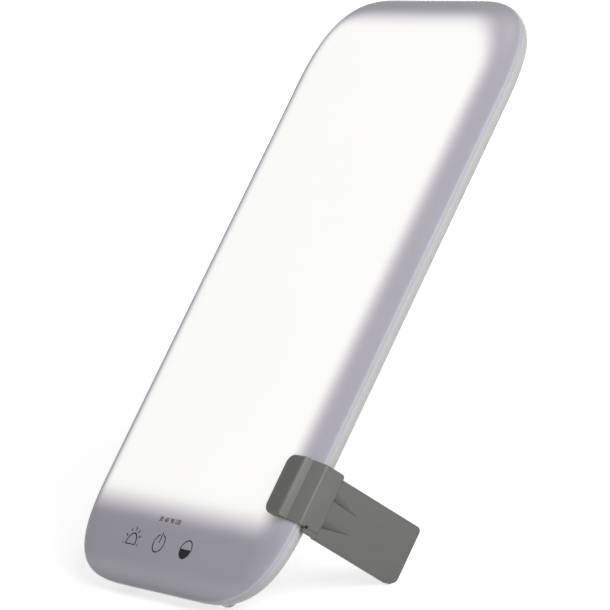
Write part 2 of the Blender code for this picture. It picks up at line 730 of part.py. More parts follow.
def build_control_board(lamp, materials):
    """The touch and timer board, its foam touch pads, timer LEDs and the block that parts their light."""
    low, high = control_board_span()
    bottom = -HALF_HEIGHT + CONTROL_BOARD_LOW
    shape = bmesh.new()
    end = (high, BOARD_DEPTH + BOARD_THICKNESS, bottom + CONTROL_BOARD_HEIGHT)
    add_box(shape, (low, BOARD_DEPTH, bottom), end)
    board = lamp.add(object_of("control_board", shape), materials["green_board"])
    holes = (BOARD_DEPTH - OVERRUN, BOARD_DEPTH + BOARD_THICKNESS + OVERRUN)
    lamp.cut(board, rods("control_board_holes", control_holes(), *holes, BOARD_SCREW_RADIUS + GAP))

    rise = -HALF_HEIGHT + MARK_RISE
    for name, x in zip(("sunrise", "power", "brightness"), MARK_PLACES):
        pad = rods("touch_pad_" + name, [(x, rise)], COVER_WALL + GAP, BOARD_DEPTH - GAP, TOUCH_PAD_RADIUS)
        lamp.add(pad, materials["foam"])

    rise = -HALF_HEIGHT + TIMER_RISE
    xs = [TIMER_START + TIMER_PITCH * index for index in range(TIMER_COUNT)]
    shape = bmesh.new()
    start = (xs[0] - BLOCK_MARGIN, COVER_WALL + GAP, rise - BLOCK_MARGIN)
    bar_front = BOARD_DEPTH - GAP - TIMER_BAR_THICKNESS
    add_box(shape, start, (xs[-1] + BLOCK_MARGIN, bar_front - GAP, rise + BLOCK_MARGIN))
    block = lamp.add(object_of("timer_light_block", shape), materials["black_plastic"])
    places = [(x, rise) for x in xs]
    lamp.cut(block, rods("timer_light_holes", places, 0.0, BOARD_DEPTH + OVERRUN, BLOCK_HOLE_RADIUS))

    shape = bmesh.new()
    start = (xs[0] - BLOCK_MARGIN, bar_front, rise - BLOCK_MARGIN)
    add_box(shape, start, (xs[-1] + BLOCK_MARGIN, BOARD_DEPTH - GAP, rise + BLOCK_MARGIN))
    bar = lamp.add(object_of("timer_led_bar", shape), materials["led"])
    shape = bmesh.new()
    half = TIMER_LED_SIZE / 2
    for x in xs:
        start = (x - half, bar_front - TIMER_LED_HEIGHT, rise - half)
        add_box(shape, start, (x + half, bar_front + TIMER_BAR_THICKNESS / 2, rise + half))
    lamp.unite(bar, object_of("timer_leds", shape))

    shape = bmesh.new()
    back = BOARD_DEPTH + BOARD_THICKNESS + GAP
    top = bottom + CONTROL_BOARD_HEIGHT - TOUCH_CHIP_DROP
    end = (TOUCH_CHIP_X + TOUCH_CHIP_SIZE, back + TOUCH_CHIP_HEIGHT, top)
    add_box(shape, (TOUCH_CHIP_X, back, top - TOUCH_CHIP_SIZE), end)
    lamp.add(object_of("touch_chip", shape), materials["black_plastic"])


def build_board_screws(lamp, steel):
    """Small screws from the front through each board into the back cover's posts."""
    screw = [(BOARD_SCREW_HEAD_RADIUS, -BOARD_SCREW_HEAD_HEIGHT), (BOARD_SCREW_HEAD_RADIUS, 0.0)]
    screw += [(BOARD_SCREW_RADIUS, 0.0), (BOARD_SCREW_RADIUS, BOARD_SCREW_LENGTH)]
    for name, places, depth in (
        ("control_board_screw", control_holes(), BOARD_DEPTH),
        ("driver_board_screw", driver_holes(), DRIVER_DEPTH),
    ):
        for number, (x, rise) in enumerate(places, 1):
            shape = bmesh.new()
            add_turned(shape, screw, (x, depth - GAP, rise))
            lamp.add(object_of(f"{name}_{number}", shape), steel)


def socket_depth():
    """Depth of the power socket's axis: its body sits on the driver board, under the crown."""
    return (DRIVER_BACK + CROWN_CEILING) / 2


def build_driver(lamp, materials):
    """The power board in the crown, with its socket, coil, capacitors and chips."""
    half = DRIVER_WIDTH / 2
    shape = bmesh.new()
    add_box(shape, (-half, DRIVER_DEPTH, DRIVER_LOW), (half, DRIVER_BACK, DRIVER_LOW + DRIVER_HEIGHT))
    board = lamp.add(object_of("driver_board", shape), materials["green_board"])
    holes = (DRIVER_DEPTH - OVERRUN, DRIVER_BACK + OVERRUN)
    lamp.cut(board, rods("driver_board_holes", driver_holes(), *holes, BOARD_SCREW_RADIUS + GAP))

    depth = socket_depth()
    front = CROWN_LOW + BACK_WALL + CROWN_DRAFT + CROWN_ROLL / 2 + GAP
    shape = bmesh.new()
    low = (SOCKET_X - SOCKET_WIDTH / 2, DRIVER_BACK + GAP, front)
    high = (SOCKET_X + SOCKET_WIDTH / 2, CROWN_CEILING - GAP, front + SOCKET_LENGTH)
    add_box(shape, low, high)
    socket = lamp.add(object_of("dc_socket", shape), materials["black_plastic"])
    shape = bmesh.new()
    start = (SOCKET_X, depth, front - OVERRUN)
    add_rod(shape, start, (SOCKET_X, depth, front + SOCKET_BORE_LENGTH), SOCKET_BORE_RADIUS, ROUND_SIDES)
    lamp.cut(socket, object_of("socket_bore", shape))
    shape = bmesh.new()
    start = (SOCKET_X, depth, front)
    add_rod(shape, start, (SOCKET_X, depth, high[2] + OVERRUN), SOCKET_PIN_RADIUS + GAP)
    lamp.cut(socket, object_of("socket_pin_hole", shape))
    shape = bmesh.new()
    tip = front + SOCKET_PIN_RECESS
    add_rod(shape, (SOCKET_X, depth, tip), (SOCKET_X, depth, high[2]), SOCKET_PIN_RADIUS)
    lamp.add(object_of("dc_socket_pin", shape), materials["steel"])

    middle = DRIVER_LOW + DRIVER_HEIGHT / 2
    base = DRIVER_BACK + GAP
    spool = [(COIL_RADIUS, 0.0), (COIL_RADIUS, COIL_FLANGE), (COIL_CORE_RADIUS, COIL_FLANGE)]
    spool += [(COIL_CORE_RADIUS, COIL_HEIGHT - COIL_FLANGE), (COIL_RADIUS, COIL_HEIGHT - COIL_FLANGE)]
    spool.append((COIL_RADIUS, COIL_HEIGHT))
    shape = bmesh.new()
    add_turned(shape, spool, (COIL_X, base, middle), ROUND_SIDES)
    lamp.add(object_of("driver_coil_core", shape), materials["black_plastic"])
    winding = bmesh.new()
    start = (COIL_X, base + COIL_FLANGE + GAP, middle)
    end = (COIL_X, base + COIL_HEIGHT - COIL_FLANGE - GAP, middle)
    add_rod(winding, start, end, COIL_RADIUS - GAP, ROUND_SIDES)
    winding = lamp.add(object_of("driver_coil_winding", winding), materials["copper"])
    shape = bmesh.new()
    ends = (COIL_X, base, middle), (COIL_X, base + COIL_HEIGHT, middle)
    add_rod(shape, *ends, COIL_CORE_RADIUS + GAP, ROUND_SIDES)
    lamp.cut(winding, object_of("coil_winding_bore", shape))

    for name, sign in (("input", -1), ("output", 1)):
        place = [(CAPACITOR_X, middle + sign * CAPACITOR_PITCH / 2)]
        can = rods(name + "_capacitor", place, base, base + CAPACITOR_HEIGHT, CAPACITOR_RADIUS, ROUND_SIDES)
        lamp.add(can, materials["aluminium"])

    shape = bmesh.new()
    coil_edge = COIL_X + COIL_RADIUS
    x = coil_edge + (DRIVER_WIDTH / 2 - coil_edge) * DRIVER_CHIP_SHARE
    half = DRIVER_CHIP_SIZE / 2
    high = (x + half, base + DRIVER_CHIP_HEIGHT, middle + half)
    add_box(shape, (x - half, base, middle - half), high)
    lamp.add(object_of("driver_chip", shape), materials["black_plastic"])


def build_leads(lamp, materials):
    """Leads from the power board to each LED strip, and a flat cable to the control board."""
    slot = (SPREADER_BACK + BACK_INNER) / 2
    web = GUIDE_LOW - GAP - RAIL_WALL
    low = web - LEAD_LOW
    strip_x = STRIP_X + STRIP_THICKNESS / 2
    strip_end = GUIDE_LOW + STRIP_END_MARGIN - GAP
    for side, sign in (("left", -1), ("right", 1)):
        route = [
            (sign * LEAD_X, slot, DRIVER_LOW + DRIVER_HOLE_INSET),
            (sign * LEAD_X, slot, (DRIVER_LOW + web) / 2),
            (sign * LEAD_X, slot, web + LEAD_LOW),
            (sign * (LEAD_X + LEAD_LOW), slot, low),
            (sign * (LEAD_X + strip_x) / 2, (slot + GUIDE_MIDDLE) / 2, low - LEAD_LOW / 2),
            (sign * (strip_x - LEAD_LOW), GUIDE_MIDDLE, low),
            (sign * strip_x, GUIDE_MIDDLE, web + LEAD_LOW / 2),
            (sign * strip_x, GUIDE_MIDDLE, strip_end),
        ]
        lamp.add(tube("led_lead_" + side, route, LEAD_RADIUS), materials["lead_red"])

    half = CABLE_THICKNESS / 2
    board_back = BOARD_DEPTH + BOARD_THICKNESS + GAP + half
    board_top = -HALF_HEIGHT + CONTROL_BOARD_LOW + CONTROL_BOARD_HEIGHT
    path = [
        (slot, DRIVER_LOW + DRIVER_HOLE_INSET),
        (slot, board_top + CABLE_BEND),
        (board_back, board_top - CABLE_BEND / 2),
        (board_back, board_top - CABLE_BEND * 2),
    ]
    profile = [(depth + half, rise) for depth, rise in path]
    profile += [(depth - half, rise) for depth, rise in reversed(path)]
    cable = prism("board_cable", profile, -CABLE_WIDTH / 2, CABLE_WIDTH / 2, "depth_rise")
    lamp.add(cable, materials["cable_grey"])


def floor_cutter(name, low, high):
    """A block whose top face is the table, between two x values."""
    shape = bmesh.new()
    add_box(shape, (low, -PANEL_HEIGHT, FLOOR - RIM_DEPTH), (high, PANEL_HEIGHT, FLOOR))
    shape.transform(Matrix.Rotation(LEAN, 4, "X"))
    return object_of(name, shape)


def build_feet(lamp, rubber):
    """Round rubber feet low on the back, each with a stud in the back cover and a flat on the table."""
    rise = -HALF_HEIGHT + FOOT_RISE
    for side, sign in (("left", -1), ("right", 1)):
        profile = [(FOOT_STUD_RADIUS, BACK_INNER - RIM_DEPTH), (FOOT_STUD_RADIUS, GAP), (FOOT_RADIUS, GAP)]
        for step in range(SMALL_ROLL_STEPS + 1):
            angle = math.radians(90.0) * step / SMALL_ROLL_STEPS
            radius = FOOT_RADIUS - FOOT_ROUNDING * (1 - math.cos(angle))
            profile.append((radius, FOOT_HEIGHT - FOOT_ROUNDING * (1 - math.sin(angle))))
        shape = bmesh.new()
        add_turned(shape, profile, (sign * FOOT_X, RIM_DEPTH, rise), ROUND_SIDES)
        foot = lamp.add(object_of("foot_" + side, shape), rubber)
        reach = FOOT_RADIUS + OVERRUN
        floor = floor_cutter("floor_under_foot_" + side, sign * FOOT_X - reach, sign * FOOT_X + reach)
        lamp.cut(foot, floor)


def clip_profile():
    """Section (x, depth) of the clip: raised pad, band, side wall, back jaw and the slot for the rim."""
    pad_start = HALF_WIDTH + GAP + CLIP_SIDE_WALL - CLIP_REACH
    band_x = CLIP_SIDE_X - CLIP_BAND
    face = -GAP
    points = [(pad_start, face), (pad_start, face - CLIP_PAD_HEIGHT + GAP)]
    points.append((band_x - CLIP_PAD_DRAFT, CLIP_BAND_DEPTH - CLIP_PAD_HEIGHT))
    points += [(band_x, CLIP_BAND_DEPTH), (CLIP_SIDE_X, CLIP_CREASE_DEPTH)]
    points += [(CLIP_SIDE_X, CLIP_BACK), (pad_start, CLIP_BACK), (pad_start, RIM_DEPTH + GAP)]
    points += [(HALF_WIDTH - inset, depth) for inset, depth in reversed(back_roll(GAP))]
    points += [(HALF_WIDTH - inset, depth) for inset, depth in front_roll(GAP)]
    return points


def build_clip(lamp, materials):
    """The clip, its two soft liners and the ears that hold the hinge pin."""
    clip = prism("clip_body", clip_profile(), CLIP_LOW, CLIP_TOP, "x_depth")
    lamp.add(clip, materials["clip_grey"], lamp.clip_slide)

    # Rounded corners of the pad and of the back jaw, cut by the waste outside them
    for name, x, depths, corner in (
        ("pad_corner", clip_profile()[0][0], (-RIM_DEPTH, COVER_WALL), CLIP_PAD_CORNER),
        ("jaw_corner", clip_profile()[0][0], (RIM_DEPTH, CROWN_BACK), CLIP_PAD_CORNER),
    ):
        for end, rise, way in (("low", CLIP_LOW, 1), ("top", CLIP_TOP, -1)):
            outside = rise - way * OVERRUN
            points = [(x - OVERRUN, outside), (x + corner, outside), (x + corner, rise)]
            for step in range(1, CORNER_STEPS):
                angle = math.radians(90.0) * step / CORNER_STEPS
                across, over = corner * (1 - math.sin(angle)), corner * (1 - math.cos(angle))
                points.append((x + across, rise + way * over))
            points += [(x, rise + way * corner), (x - OVERRUN, rise + way * corner)]
            lamp.cut(clip, prism(name + "_" + end, points, *depths, "x_rise"))

    # Pockets for the liners
    middle = (CLIP_LOW + CLIP_TOP) / 2
    rises = (middle - LINER_LENGTH / 2, middle + LINER_LENGTH / 2)
    jaw = clip_profile()[0][0]
    front = (jaw + LINER_FRONT_START, jaw + LINER_FRONT_START + LINER_FRONT_WIDTH)
    back = (jaw + LINER_BACK_START, jaw + LINER_BACK_START + LINER_BACK_WIDTH)
    pocket = roll_strip(front[0] - GAP, front[1] + GAP, 0.0, POCKET_DEPTH)
    lamp.cut(clip, prism("front_liner_pocket", pocket, rises[0] - GAP, rises[1] + GAP, "x_depth"))
    shape = bmesh.new()
    low = (back[0] - GAP, RIM_DEPTH, rises[0] - GAP)
    add_box(shape, low, (back[1] + GAP, RIM_DEPTH + POCKET_DEPTH, rises[1] + GAP))
    lamp.cut(clip, object_of("back_liner_pocket", shape))

    # Small notch in the low edge where the leg's stop tab ends
    shape = bmesh.new()
    start = LEG_ROOT - TAB_LENGTH
    low = (CLIP_SIDE_X - NOTCH_DEPTH, start, CLIP_LOW - OVERRUN)
    add_box(shape, low, (CLIP_SIDE_X + OVERRUN, start + NOTCH_LENGTH, CLIP_LOW + NOTCH_HEIGHT))
    lamp.cut(clip, object_of("notch", shape))

    ears = bmesh.new()
    for low, high in ear_spans():
        ends = (HINGE_X, HINGE_DEPTH, low), (HINGE_X, HINGE_DEPTH, high)
        add_rod(ears, *ends, KNUCKLE_RADIUS, ROUND_SIDES)
    lamp.unite(clip, object_of("hinge_ears", ears))
    roots = bmesh.new()
    for low, high in ear_spans():
        edge = GAP / 2
        start = (HINGE_X - KNUCKLE_RADIUS + edge, CLIP_BACK - GAP, low + edge)
        add_box(roots, start, (HINGE_X + KNUCKLE_RADIUS - edge, HINGE_DEPTH, high - edge))
    lamp.unite(clip, object_of("hinge_ear_roots", roots))
    shape = bmesh.new()
    low, high = ear_spans()[0][0], ear_spans()[1][1]
    bore = ((HINGE_X, HINGE_DEPTH, low - OVERRUN), (HINGE_X, HINGE_DEPTH, high + OVERRUN))
    add_rod(shape, *bore, PIN_RADIUS + GAP, ROUND_SIDES)
    lamp.cut(clip, object_of("hinge_bore", shape))

    strip = roll_strip(*front, GAP, GAP + LINER_THICKNESS)
    liner = prism("clip_liner_front", strip, *rises, "x_depth")
    lamp.add(liner, materials["rubber"], lamp.clip_slide)
    shape = bmesh.new()
    near = RIM_DEPTH + GAP
    add_box(shape, (back[0], near, rises[0]), (back[1], near + LINER_THICKNESS, rises[1]))
    lamp.add(object_of("clip_liner_back", shape), materials["rubber"], lamp.clip_slide)


def roll_strip(low_x, high_x, near, far):
    """Section (x, depth) of a strip along the front cover's rolled edge, between two heights before it."""
    surface = []
    for step in range(ROLL_STEPS + 1):
        x = low_x + (high_x - low_x) * step / ROLL_STEPS
        share = max(0.0, x - (HALF_WIDTH - FRONT_ROLL_WIDTH)) / FRONT_ROLL_WIDTH
        surface.append((x, FRONT_ROLL_DEPTH * (1 - math.sqrt(1 - share**2))))
    inside = [(x, depth - near) for x, depth in surface]
    return inside + [(x, depth - far) for x, depth in reversed(surface)]


def ear_spans():
    """Rise spans of the low and the top hinge ear."""
    top = LEG_TOP - EAR_TOP_DROP / 2
    return [(CLIP_LOW, CLIP_LOW + EAR_HEIGHT), (top - EAR_HEIGHT, top)]


def leg_outline():
    """Points (depth, rise) of the leg's plate, its corners rounded as arcs."""
    points = [(LEG_ROOT, LEG_LOW), (LEG_ROOT, LEG_TOP)]
    corners = (
        (LEG_TOP - LEG_TOP_CORNER, LEG_TOP_CORNER, 90.0),
        (LEG_LOW + LEG_LOW_CORNER, LEG_LOW_CORNER, 0.0),
    )
    for rise, radius, start in corners:
        for step in range(CORNER_STEPS + 1):
            angle = math.radians(start - 90.0 * step / CORNER_STEPS)
            points.append((LEG_END - radius + radius * math.cos(angle), rise + radius * math.sin(angle)))
    return points


def build_leg(lamp, materials):
    """The folding leg: plate, hinge knuckle, stop tab and the recess with its half-round tongue."""
    inner = CLIP_SIDE_X - LEG_PLATE
    leg = prism("leg_plate", leg_outline(), inner, CLIP_SIDE_X, "depth_rise")
    lamp.add(leg, materials["leg_grey"], lamp.leg_hinge)

    shape = bmesh.new()
    low, high = knuckle_span()
    add_rod(shape, (HINGE_X, HINGE_DEPTH, low), (HINGE_X, HINGE_DEPTH, high), KNUCKLE_RADIUS, ROUND_SIDES)
    lamp.unite(leg, object_of("leg_knuckle", shape))
    shape = bmesh.new()
    edge = GAP / 2
    start = (HINGE_X, HINGE_DEPTH - KNUCKLE_RADIUS + edge, low + edge)
    end = (inner + LEG_PLATE / 2, HINGE_DEPTH + KNUCKLE_RADIUS - edge, high - edge)
    add_box(shape, start, end)
    lamp.unite(leg, object_of("leg_knuckle_web", shape))

    shape = bmesh.new()
    tab_front = LEG_ROOT - TAB_LENGTH
    start = (HALF_WIDTH + GAP + edge, tab_front, LEG_LOW + edge)
    end = (CLIP_SIDE_X - edge, LEG_ROOT + OVERRUN, LEG_LOW + TAB_HEIGHT)
    add_box(shape, start, end)
    lamp.unite(leg, object_of("leg_stop_tab", shape))

    # A three-cornered recess, deepest at the hinge and running out to a point, then the tongue inside it
    depth = LEG_ROOT - OVERRUN
    apex = (LEG_ROOT + RECESS_REACH, LEG_LOW + RECESS_APEX_RISE)
    top, bottom = LEG_LOW + RECESS_TOP, LEG_LOW + RECESS_LOW
    shape = bmesh.new()
    points = [
        (CLIP_SIDE_X - RECESS_DEPTH, depth, bottom),
        (CLIP_SIDE_X - RECESS_DEPTH, depth, top),
        (CLIP_SIDE_X + OVERRUN, depth, top),
        (CLIP_SIDE_X + OVERRUN, depth, bottom),
        (CLIP_SIDE_X - GAP, *apex),
        (CLIP_SIDE_X + OVERRUN, *apex),
    ]
    add_hull(shape, points)
    lamp.cut(leg, object_of("leg_recess", shape))
    shape = bmesh.new()
    rings = []
    middle_x = CLIP_SIDE_X - TONGUE_RADIUS
    for radius, along, rise, x in (
        (TONGUE_RADIUS, LEG_ROOT + GAP / 2, (top + bottom) / 2, middle_x),
        (GAP, apex[0], apex[1], CLIP_SIDE_X - RECESS_DEPTH),
    ):
        ring = []
        for step in range(ROUND_SIDES):
            angle = math.radians(360.0) * step / ROUND_SIDES
            ring.append((x + radius * math.cos(angle), along, rise + radius * math.sin(angle)))
        rings.append(ring)
    add_loft(shape, rings)
    lamp.unite(leg, object_of("leg_tongue", shape))

    shape = bmesh.new()
    bore = ((HINGE_X, HINGE_DEPTH, low - OVERRUN), (HINGE_X, HINGE_DEPTH, high + OVERRUN))
    add_rod(shape, *bore, PIN_RADIUS + GAP, ROUND_SIDES)
    lamp.cut(leg, object_of("leg_bore", shape))
    lamp.cut(leg, floor_cutter("floor_under_leg", inner - OVERRUN, CLIP_SIDE_X + OVERRUN))


def add_hull(shape, points):
    for point in points:
        shape.verts.new(point)
    bmesh.ops.convex_hull(shape, input=shape.verts)


def knuckle_span():
    """Rise span of the leg's knuckle, between the ears and their washers."""
    low, top = ear_spans()
    return low[1] + WASHER_THICKNESS + GAP * 2, top[0] - WASHER_THICKNESS - GAP * 2


def build_hinge(lamp, steel):
    """The hinge pin with its head, and a friction washer at each end of the knuckle."""
    low, top = ear_spans()
    shape = bmesh.new()
    middle = (HINGE_X, HINGE_DEPTH)
    head = (top[1] + GAP, top[1] + GAP + PIN_HEAD_HEIGHT)
    rings = []
    turned = [(PIN_RADIUS, low[0]), (PIN_RADIUS, head[0])]
    turned += [(PIN_HEAD_RADIUS, head[0]), (PIN_HEAD_RADIUS, head[1])]
    for radius, rise in turned:
        ring = []
        for step in range(ROUND_SIDES):
            angle = math.radians(360.0) * step / ROUND_SIDES
            ring.append((middle[0] + radius * math.cos(angle), middle[1] + radius * math.sin(angle), rise))
        rings.append(ring)
    add_loft(shape, rings)
    lamp.add(object_of("hinge_pin", shape), steel, lamp.clip_slide)

    starts = {"hinge_washer_low": low[1] + GAP, "hinge_washer_top": top[0] - GAP - WASHER_THICKNESS}
    for name, start in starts.items():
        shape = bmesh.new()
        end = start + WASHER_THICKNESS
        add_rod(shape, (*middle, start), (*middle, end), WASHER_RADIUS, ROUND_SIDES)
        washer = lamp.add(object_of(name, shape), steel, lamp.clip_slide)
        shape = bmesh.new()
        add_rod(shape, (*middle, start - OVERRUN), (*middle, end + OVERRUN), PIN_RADIUS + GAP, ROUND_SIDES)
        lamp.cut(washer, object_of(name + "_bore", shape))


def stand_on_origin(lamp):
    """Moves the leaning lamp so that the middle of its base is the origin and the table is at zero."""
    bpy.context.view_layer.update()
    graph = bpy.context.evaluated_depsgraph_get()
    corners = []
    for item in lamp.parts.objects:
        if item.type == "MESH":
            made = item.evaluated_get(graph)
            corners += [made.matrix_world @ vertex.co for vertex in made.data.vertices]
    low = Vector([min(corner[axis] for corner in corners) for axis in range(3)])
    high = Vector([max(corner[axis] for corner in corners) for axis in range(3)])
    lamp.frame.location = (-(low.x + high.x) / 2, -(low.y + high.y) / 2, -low.z)
    bpy.context.view_layer.update()


def main():
    for item in list(bpy.data.objects):
        bpy.data.objects.remove(item)
    materials = {
        "opal": make_material("opal_cover", (0.94, 0.94, 0.95), 0.35, glow=1.0),
        "white": make_material("housing_white", (0.80, 0.80, 0.80), 0.35),
        "frame_white": make_material("frame_white", (0.75, 0.75, 0.74), 0.5),
        "film": make_material("diffuser_film", (0.92, 0.92, 0.92), 0.6),
        "acrylic": make_material("light_guide_acrylic", (0.85, 0.90, 0.93), 0.1),
        "mirror_film": make_material("reflector_film", (0.90, 0.90, 0.90), 0.2),
        "aluminium": make_material("aluminium", (0.72, 0.73, 0.75), 0.4, 1.0),
        "green_board": make_material("circuit_board", (0.04, 0.22, 0.10), 0.5),
        "strip_white": make_material("led_strip_white", (0.86, 0.86, 0.83), 0.4),
        "led": make_material("led_phosphor", (0.95, 0.85, 0.35), 0.4),
        "foam": make_material("conductive_foam", (0.08, 0.08, 0.09), 0.9),
        "black_plastic": make_material("black_plastic", (0.03, 0.03, 0.03), 0.5),
        "copper": make_material("copper_wire", (0.72, 0.35, 0.18), 0.35, 1.0),
        "steel": make_material("zinc_steel", (0.62, 0.62, 0.63), 0.35, 1.0),
        "lead_red": make_material("lead_sleeve", (0.50, 0.05, 0.04), 0.5),
        "cable_grey": make_material("flat_cable_grey", (0.45, 0.45, 0.46), 0.5),
        "rubber": make_material("soft_rubber", (0.12, 0.12, 0.12), 0.8),
        "foot_rubber": make_material("clear_grey_rubber", (0.55, 0.55, 0.56), 0.6),
        "clip_grey": make_material("clip_grey_green", (0.17, 0.18, 0.165), 0.55),
        "leg_grey": make_material("leg_grey_green", (0.17, 0.175, 0.165), 0.55),
    }
    lamp = Lamp()
    build_front_cover(lamp, materials["opal"])
    build_back_cover(lamp, materials["white"])
    build_screws(lamp, materials["steel"])
    build_optics(lamp, materials)
    build_strips(lamp, materials["strip_white"])
    build_control_board(lamp, materials)
    build_driver(lamp, materials)
    build_board_screws(lamp, materials["steel"])
    build_leads(lamp, materials)
    build_feet(lamp, materials["foot_rubber"])
    build_clip(lamp, materials)
    build_leg(lamp, materials)
    build_hinge(lamp, materials["steel"])
    stand_on_origin(lamp)


main()
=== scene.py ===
import json
import math

import bpy
from mathutils import Matrix, Vector


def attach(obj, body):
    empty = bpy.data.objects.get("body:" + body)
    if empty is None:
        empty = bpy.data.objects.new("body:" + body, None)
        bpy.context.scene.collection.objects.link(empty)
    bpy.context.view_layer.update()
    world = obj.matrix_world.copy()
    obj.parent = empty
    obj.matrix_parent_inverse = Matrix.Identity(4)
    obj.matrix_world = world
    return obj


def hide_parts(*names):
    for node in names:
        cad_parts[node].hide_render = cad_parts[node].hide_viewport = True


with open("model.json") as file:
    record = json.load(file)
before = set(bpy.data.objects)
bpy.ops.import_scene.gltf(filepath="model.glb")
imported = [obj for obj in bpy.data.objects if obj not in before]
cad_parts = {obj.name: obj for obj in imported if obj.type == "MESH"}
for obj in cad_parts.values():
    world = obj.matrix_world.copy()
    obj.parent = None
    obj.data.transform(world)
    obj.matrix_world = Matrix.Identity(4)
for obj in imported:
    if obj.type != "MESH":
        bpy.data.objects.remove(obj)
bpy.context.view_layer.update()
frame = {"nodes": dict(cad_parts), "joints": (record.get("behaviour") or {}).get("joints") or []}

# The leg's hinge on the panel: x across it, depth from its front face to its back, rise up it
pivot = {
    "x": 0.07605,
    "depth": 0.0183,
    "rise": -0.1070,            # the clip's low end
    "radius": 0.0040,           # of the knuckle and the ears
    "bore": 0.0018,
}

# The frame's hinge tells how far the panel leans back and where its centre is
hinge = next(joint for joint in frame["joints"] if joint["name"] == "leg_hinge")
lean = math.atan2(hinge["axis"][1], hinge["axis"][2])
turnToLean = Matrix.Rotation(-lean, 4, "X")
pivotOnPanel = Vector((pivot["x"], pivot["depth"], pivot["rise"]))
panelCentre = Vector(hinge["pos_m"]) - turnToLean.to_3x3() @ pivotOnPanel
panelPlace = Matrix.Translation(panelCentre) @ turnToLean

overrun = 0.001                 # how far a cut goes past the face it starts from
tuck = 0.00015                  # how far a joined block stays inside its neighbour's faces
weld = 0.000003                 # points closer than this become one
fineWeld = 0.000001
sameWithin = 0.00012            # places closer than this count as the same
sharpTurn = 35.0                # edges that turn by more than this, in degrees, count as sharp
flatTurn = 0.5                  # edges that turn by less than this are merged away
smoothTurn = 30.0               # faces that turn by less than this are shaded as one


def clearSelection():
    if bpy.context.mode != "OBJECT":
        bpy.ops.object.mode_set(mode="OBJECT")
    bpy.ops.object.select_all(action="DESELECT")


def makeActive(piece):
    clearSelection()
    piece.select_set(True)
    bpy.context.view_layer.objects.active = piece


def startEdit(piece, action="SELECT"):
    makeActive(piece)
    bpy.ops.object.mode_set(mode="EDIT")
    bpy.ops.mesh.select_all(action=action)


def endEdit():
    bpy.ops.object.mode_set(mode="OBJECT")


def namePiece(name):
    piece = bpy.context.active_object
    piece.name = name
    piece.data.name = name
    return piece


def applyAll(piece):
    makeActive(piece)
    bpy.ops.object.transform_apply(location=True, rotation=True, scale=True)


def applyModifier(piece, kind, **settings):
    makeActive(piece)
    modifier = piece.modifiers.new(kind.lower(), kind)
    for key, value in settings.items():
        setattr(modifier, key, value)
    bpy.ops.object.modifier_apply(modifier=modifier.name)


# joins a tool to the piece or cuts the piece with it, and removes the tool
def combine(piece, tool, operation):
    applyModifier(piece, "BOOLEAN", object=tool, operation=operation, solver="EXACT")
    bpy.data.objects.remove(tool)


def join(piece, tool):
    combine(piece, tool, "UNION")


def cut(piece, tool):
    combine(piece, tool, "DIFFERENCE")


# leaves the mesh being edited with no doubled points and no edges across flat faces
def mergeFlat(piece):
    startEdit(piece)
    bpy.ops.mesh.remove_doubles(threshold=weld)
    bpy.ops.mesh.dissolve_limited(angle_limit=math.radians(flatTurn))


# rounds all edges that turn by more than the limit, in degrees
def roundEdges(piece, width, segments, limit):
    mergeFlat(piece)
    endEdit()
    applyModifier(
        piece, "BEVEL", width=width, segments=segments, limit_method="ANGLE",
        angle_limit=math.radians(limit), use_clamp_overlap=True, miter_outer="MITER_ARC",
    )


# bevels the sharp edges whose two ends pass the test
def bevelWhere(piece, test, width, segments, clamp=False):
    bpy.context.tool_settings.mesh_select_mode = (False, True, False)
    startEdit(piece, "DESELECT")
    endEdit()
    normals = {}
    for face in piece.data.polygons:
        for key in face.edge_keys:
            normals.setdefault(key, []).append(face.normal)
    points = piece.data.vertices
    for edge in piece.data.edges:
        pair = normals.get(edge.key, [])
        sharp = len(pair) == 2 and pair[0].angle(pair[1]) > math.radians(sharpTurn)
        edge.select = sharp and test(*(points[index].co for index in edge.vertices))
    bpy.ops.object.mode_set(mode="EDIT")
    bpy.ops.mesh.bevel(offset=width, segments=segments, affect="EDGES", clamp_overlap=clamp)
    endEdit()


def near(value, *others):
    return all(abs(value - other) < sameWithin for other in others)


def smooth(piece):
    makeActive(piece)
    bpy.ops.object.shade_smooth_by_angle(angle=math.radians(smoothTurn))


# puts a piece that was modelled upright where the leaning panel is, and hands it to the frame
def leanBack(piece, body, material, *nodes, slot=None):
    piece.data.transform(panelPlace)
    piece.data.materials.clear()
    piece.data.materials.append(material)
    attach(piece, body)
    if nodes:
        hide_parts(*nodes)
    return piece


# cuts a piece that already leans flat where it stands on the table
def cutAtTable(piece):
    startEdit(piece)
    bpy.ops.mesh.bisect(
        plane_co=(0, 0, 0), plane_no=(0, 0, 1), use_fill=True, clear_inner=True, threshold=fineWeld
    )
    endEdit()


def quarter(count):
    return [math.radians(90) * step / count for step in range(count + 1)]


# a round bar between two points, to join or cut with
def rod(name, start, end, radius, sides=64):
    start, end = Vector(start), Vector(end)
    clearSelection()
    turn = (end - start).to_track_quat("Z", "Y").to_euler()
    bpy.ops.mesh.primitive_cylinder_add(
        vertices=sides, radius=radius, depth=(end - start).length, location=(start + end) / 2, rotation=turn
    )
    piece = namePiece(name)
    applyAll(piece)
    return piece


# a bar straight through the panel from one depth to another
def depthRod(name, x, rise, start, end, radius, sides=64):
    return rod(name, (x, start, rise), (x, end, rise), radius, sides)


# a bar on the leg's hinge axis
def hingeRod(name, low, high, radius, sides=64):
    centre = (pivot["x"], pivot["depth"])
    return rod(name, (*centre, low), (*centre, high), radius, sides)


def block(name, low, high):
    clearSelection()
    middle = [(a + b) / 2 for a, b in zip(low, high)]
    bpy.ops.mesh.primitive_cube_add(size=1, location=middle)
    piece = namePiece(name)
    piece.scale = [b - a for a, b in zip(low, high)]
    applyAll(piece)
    return piece


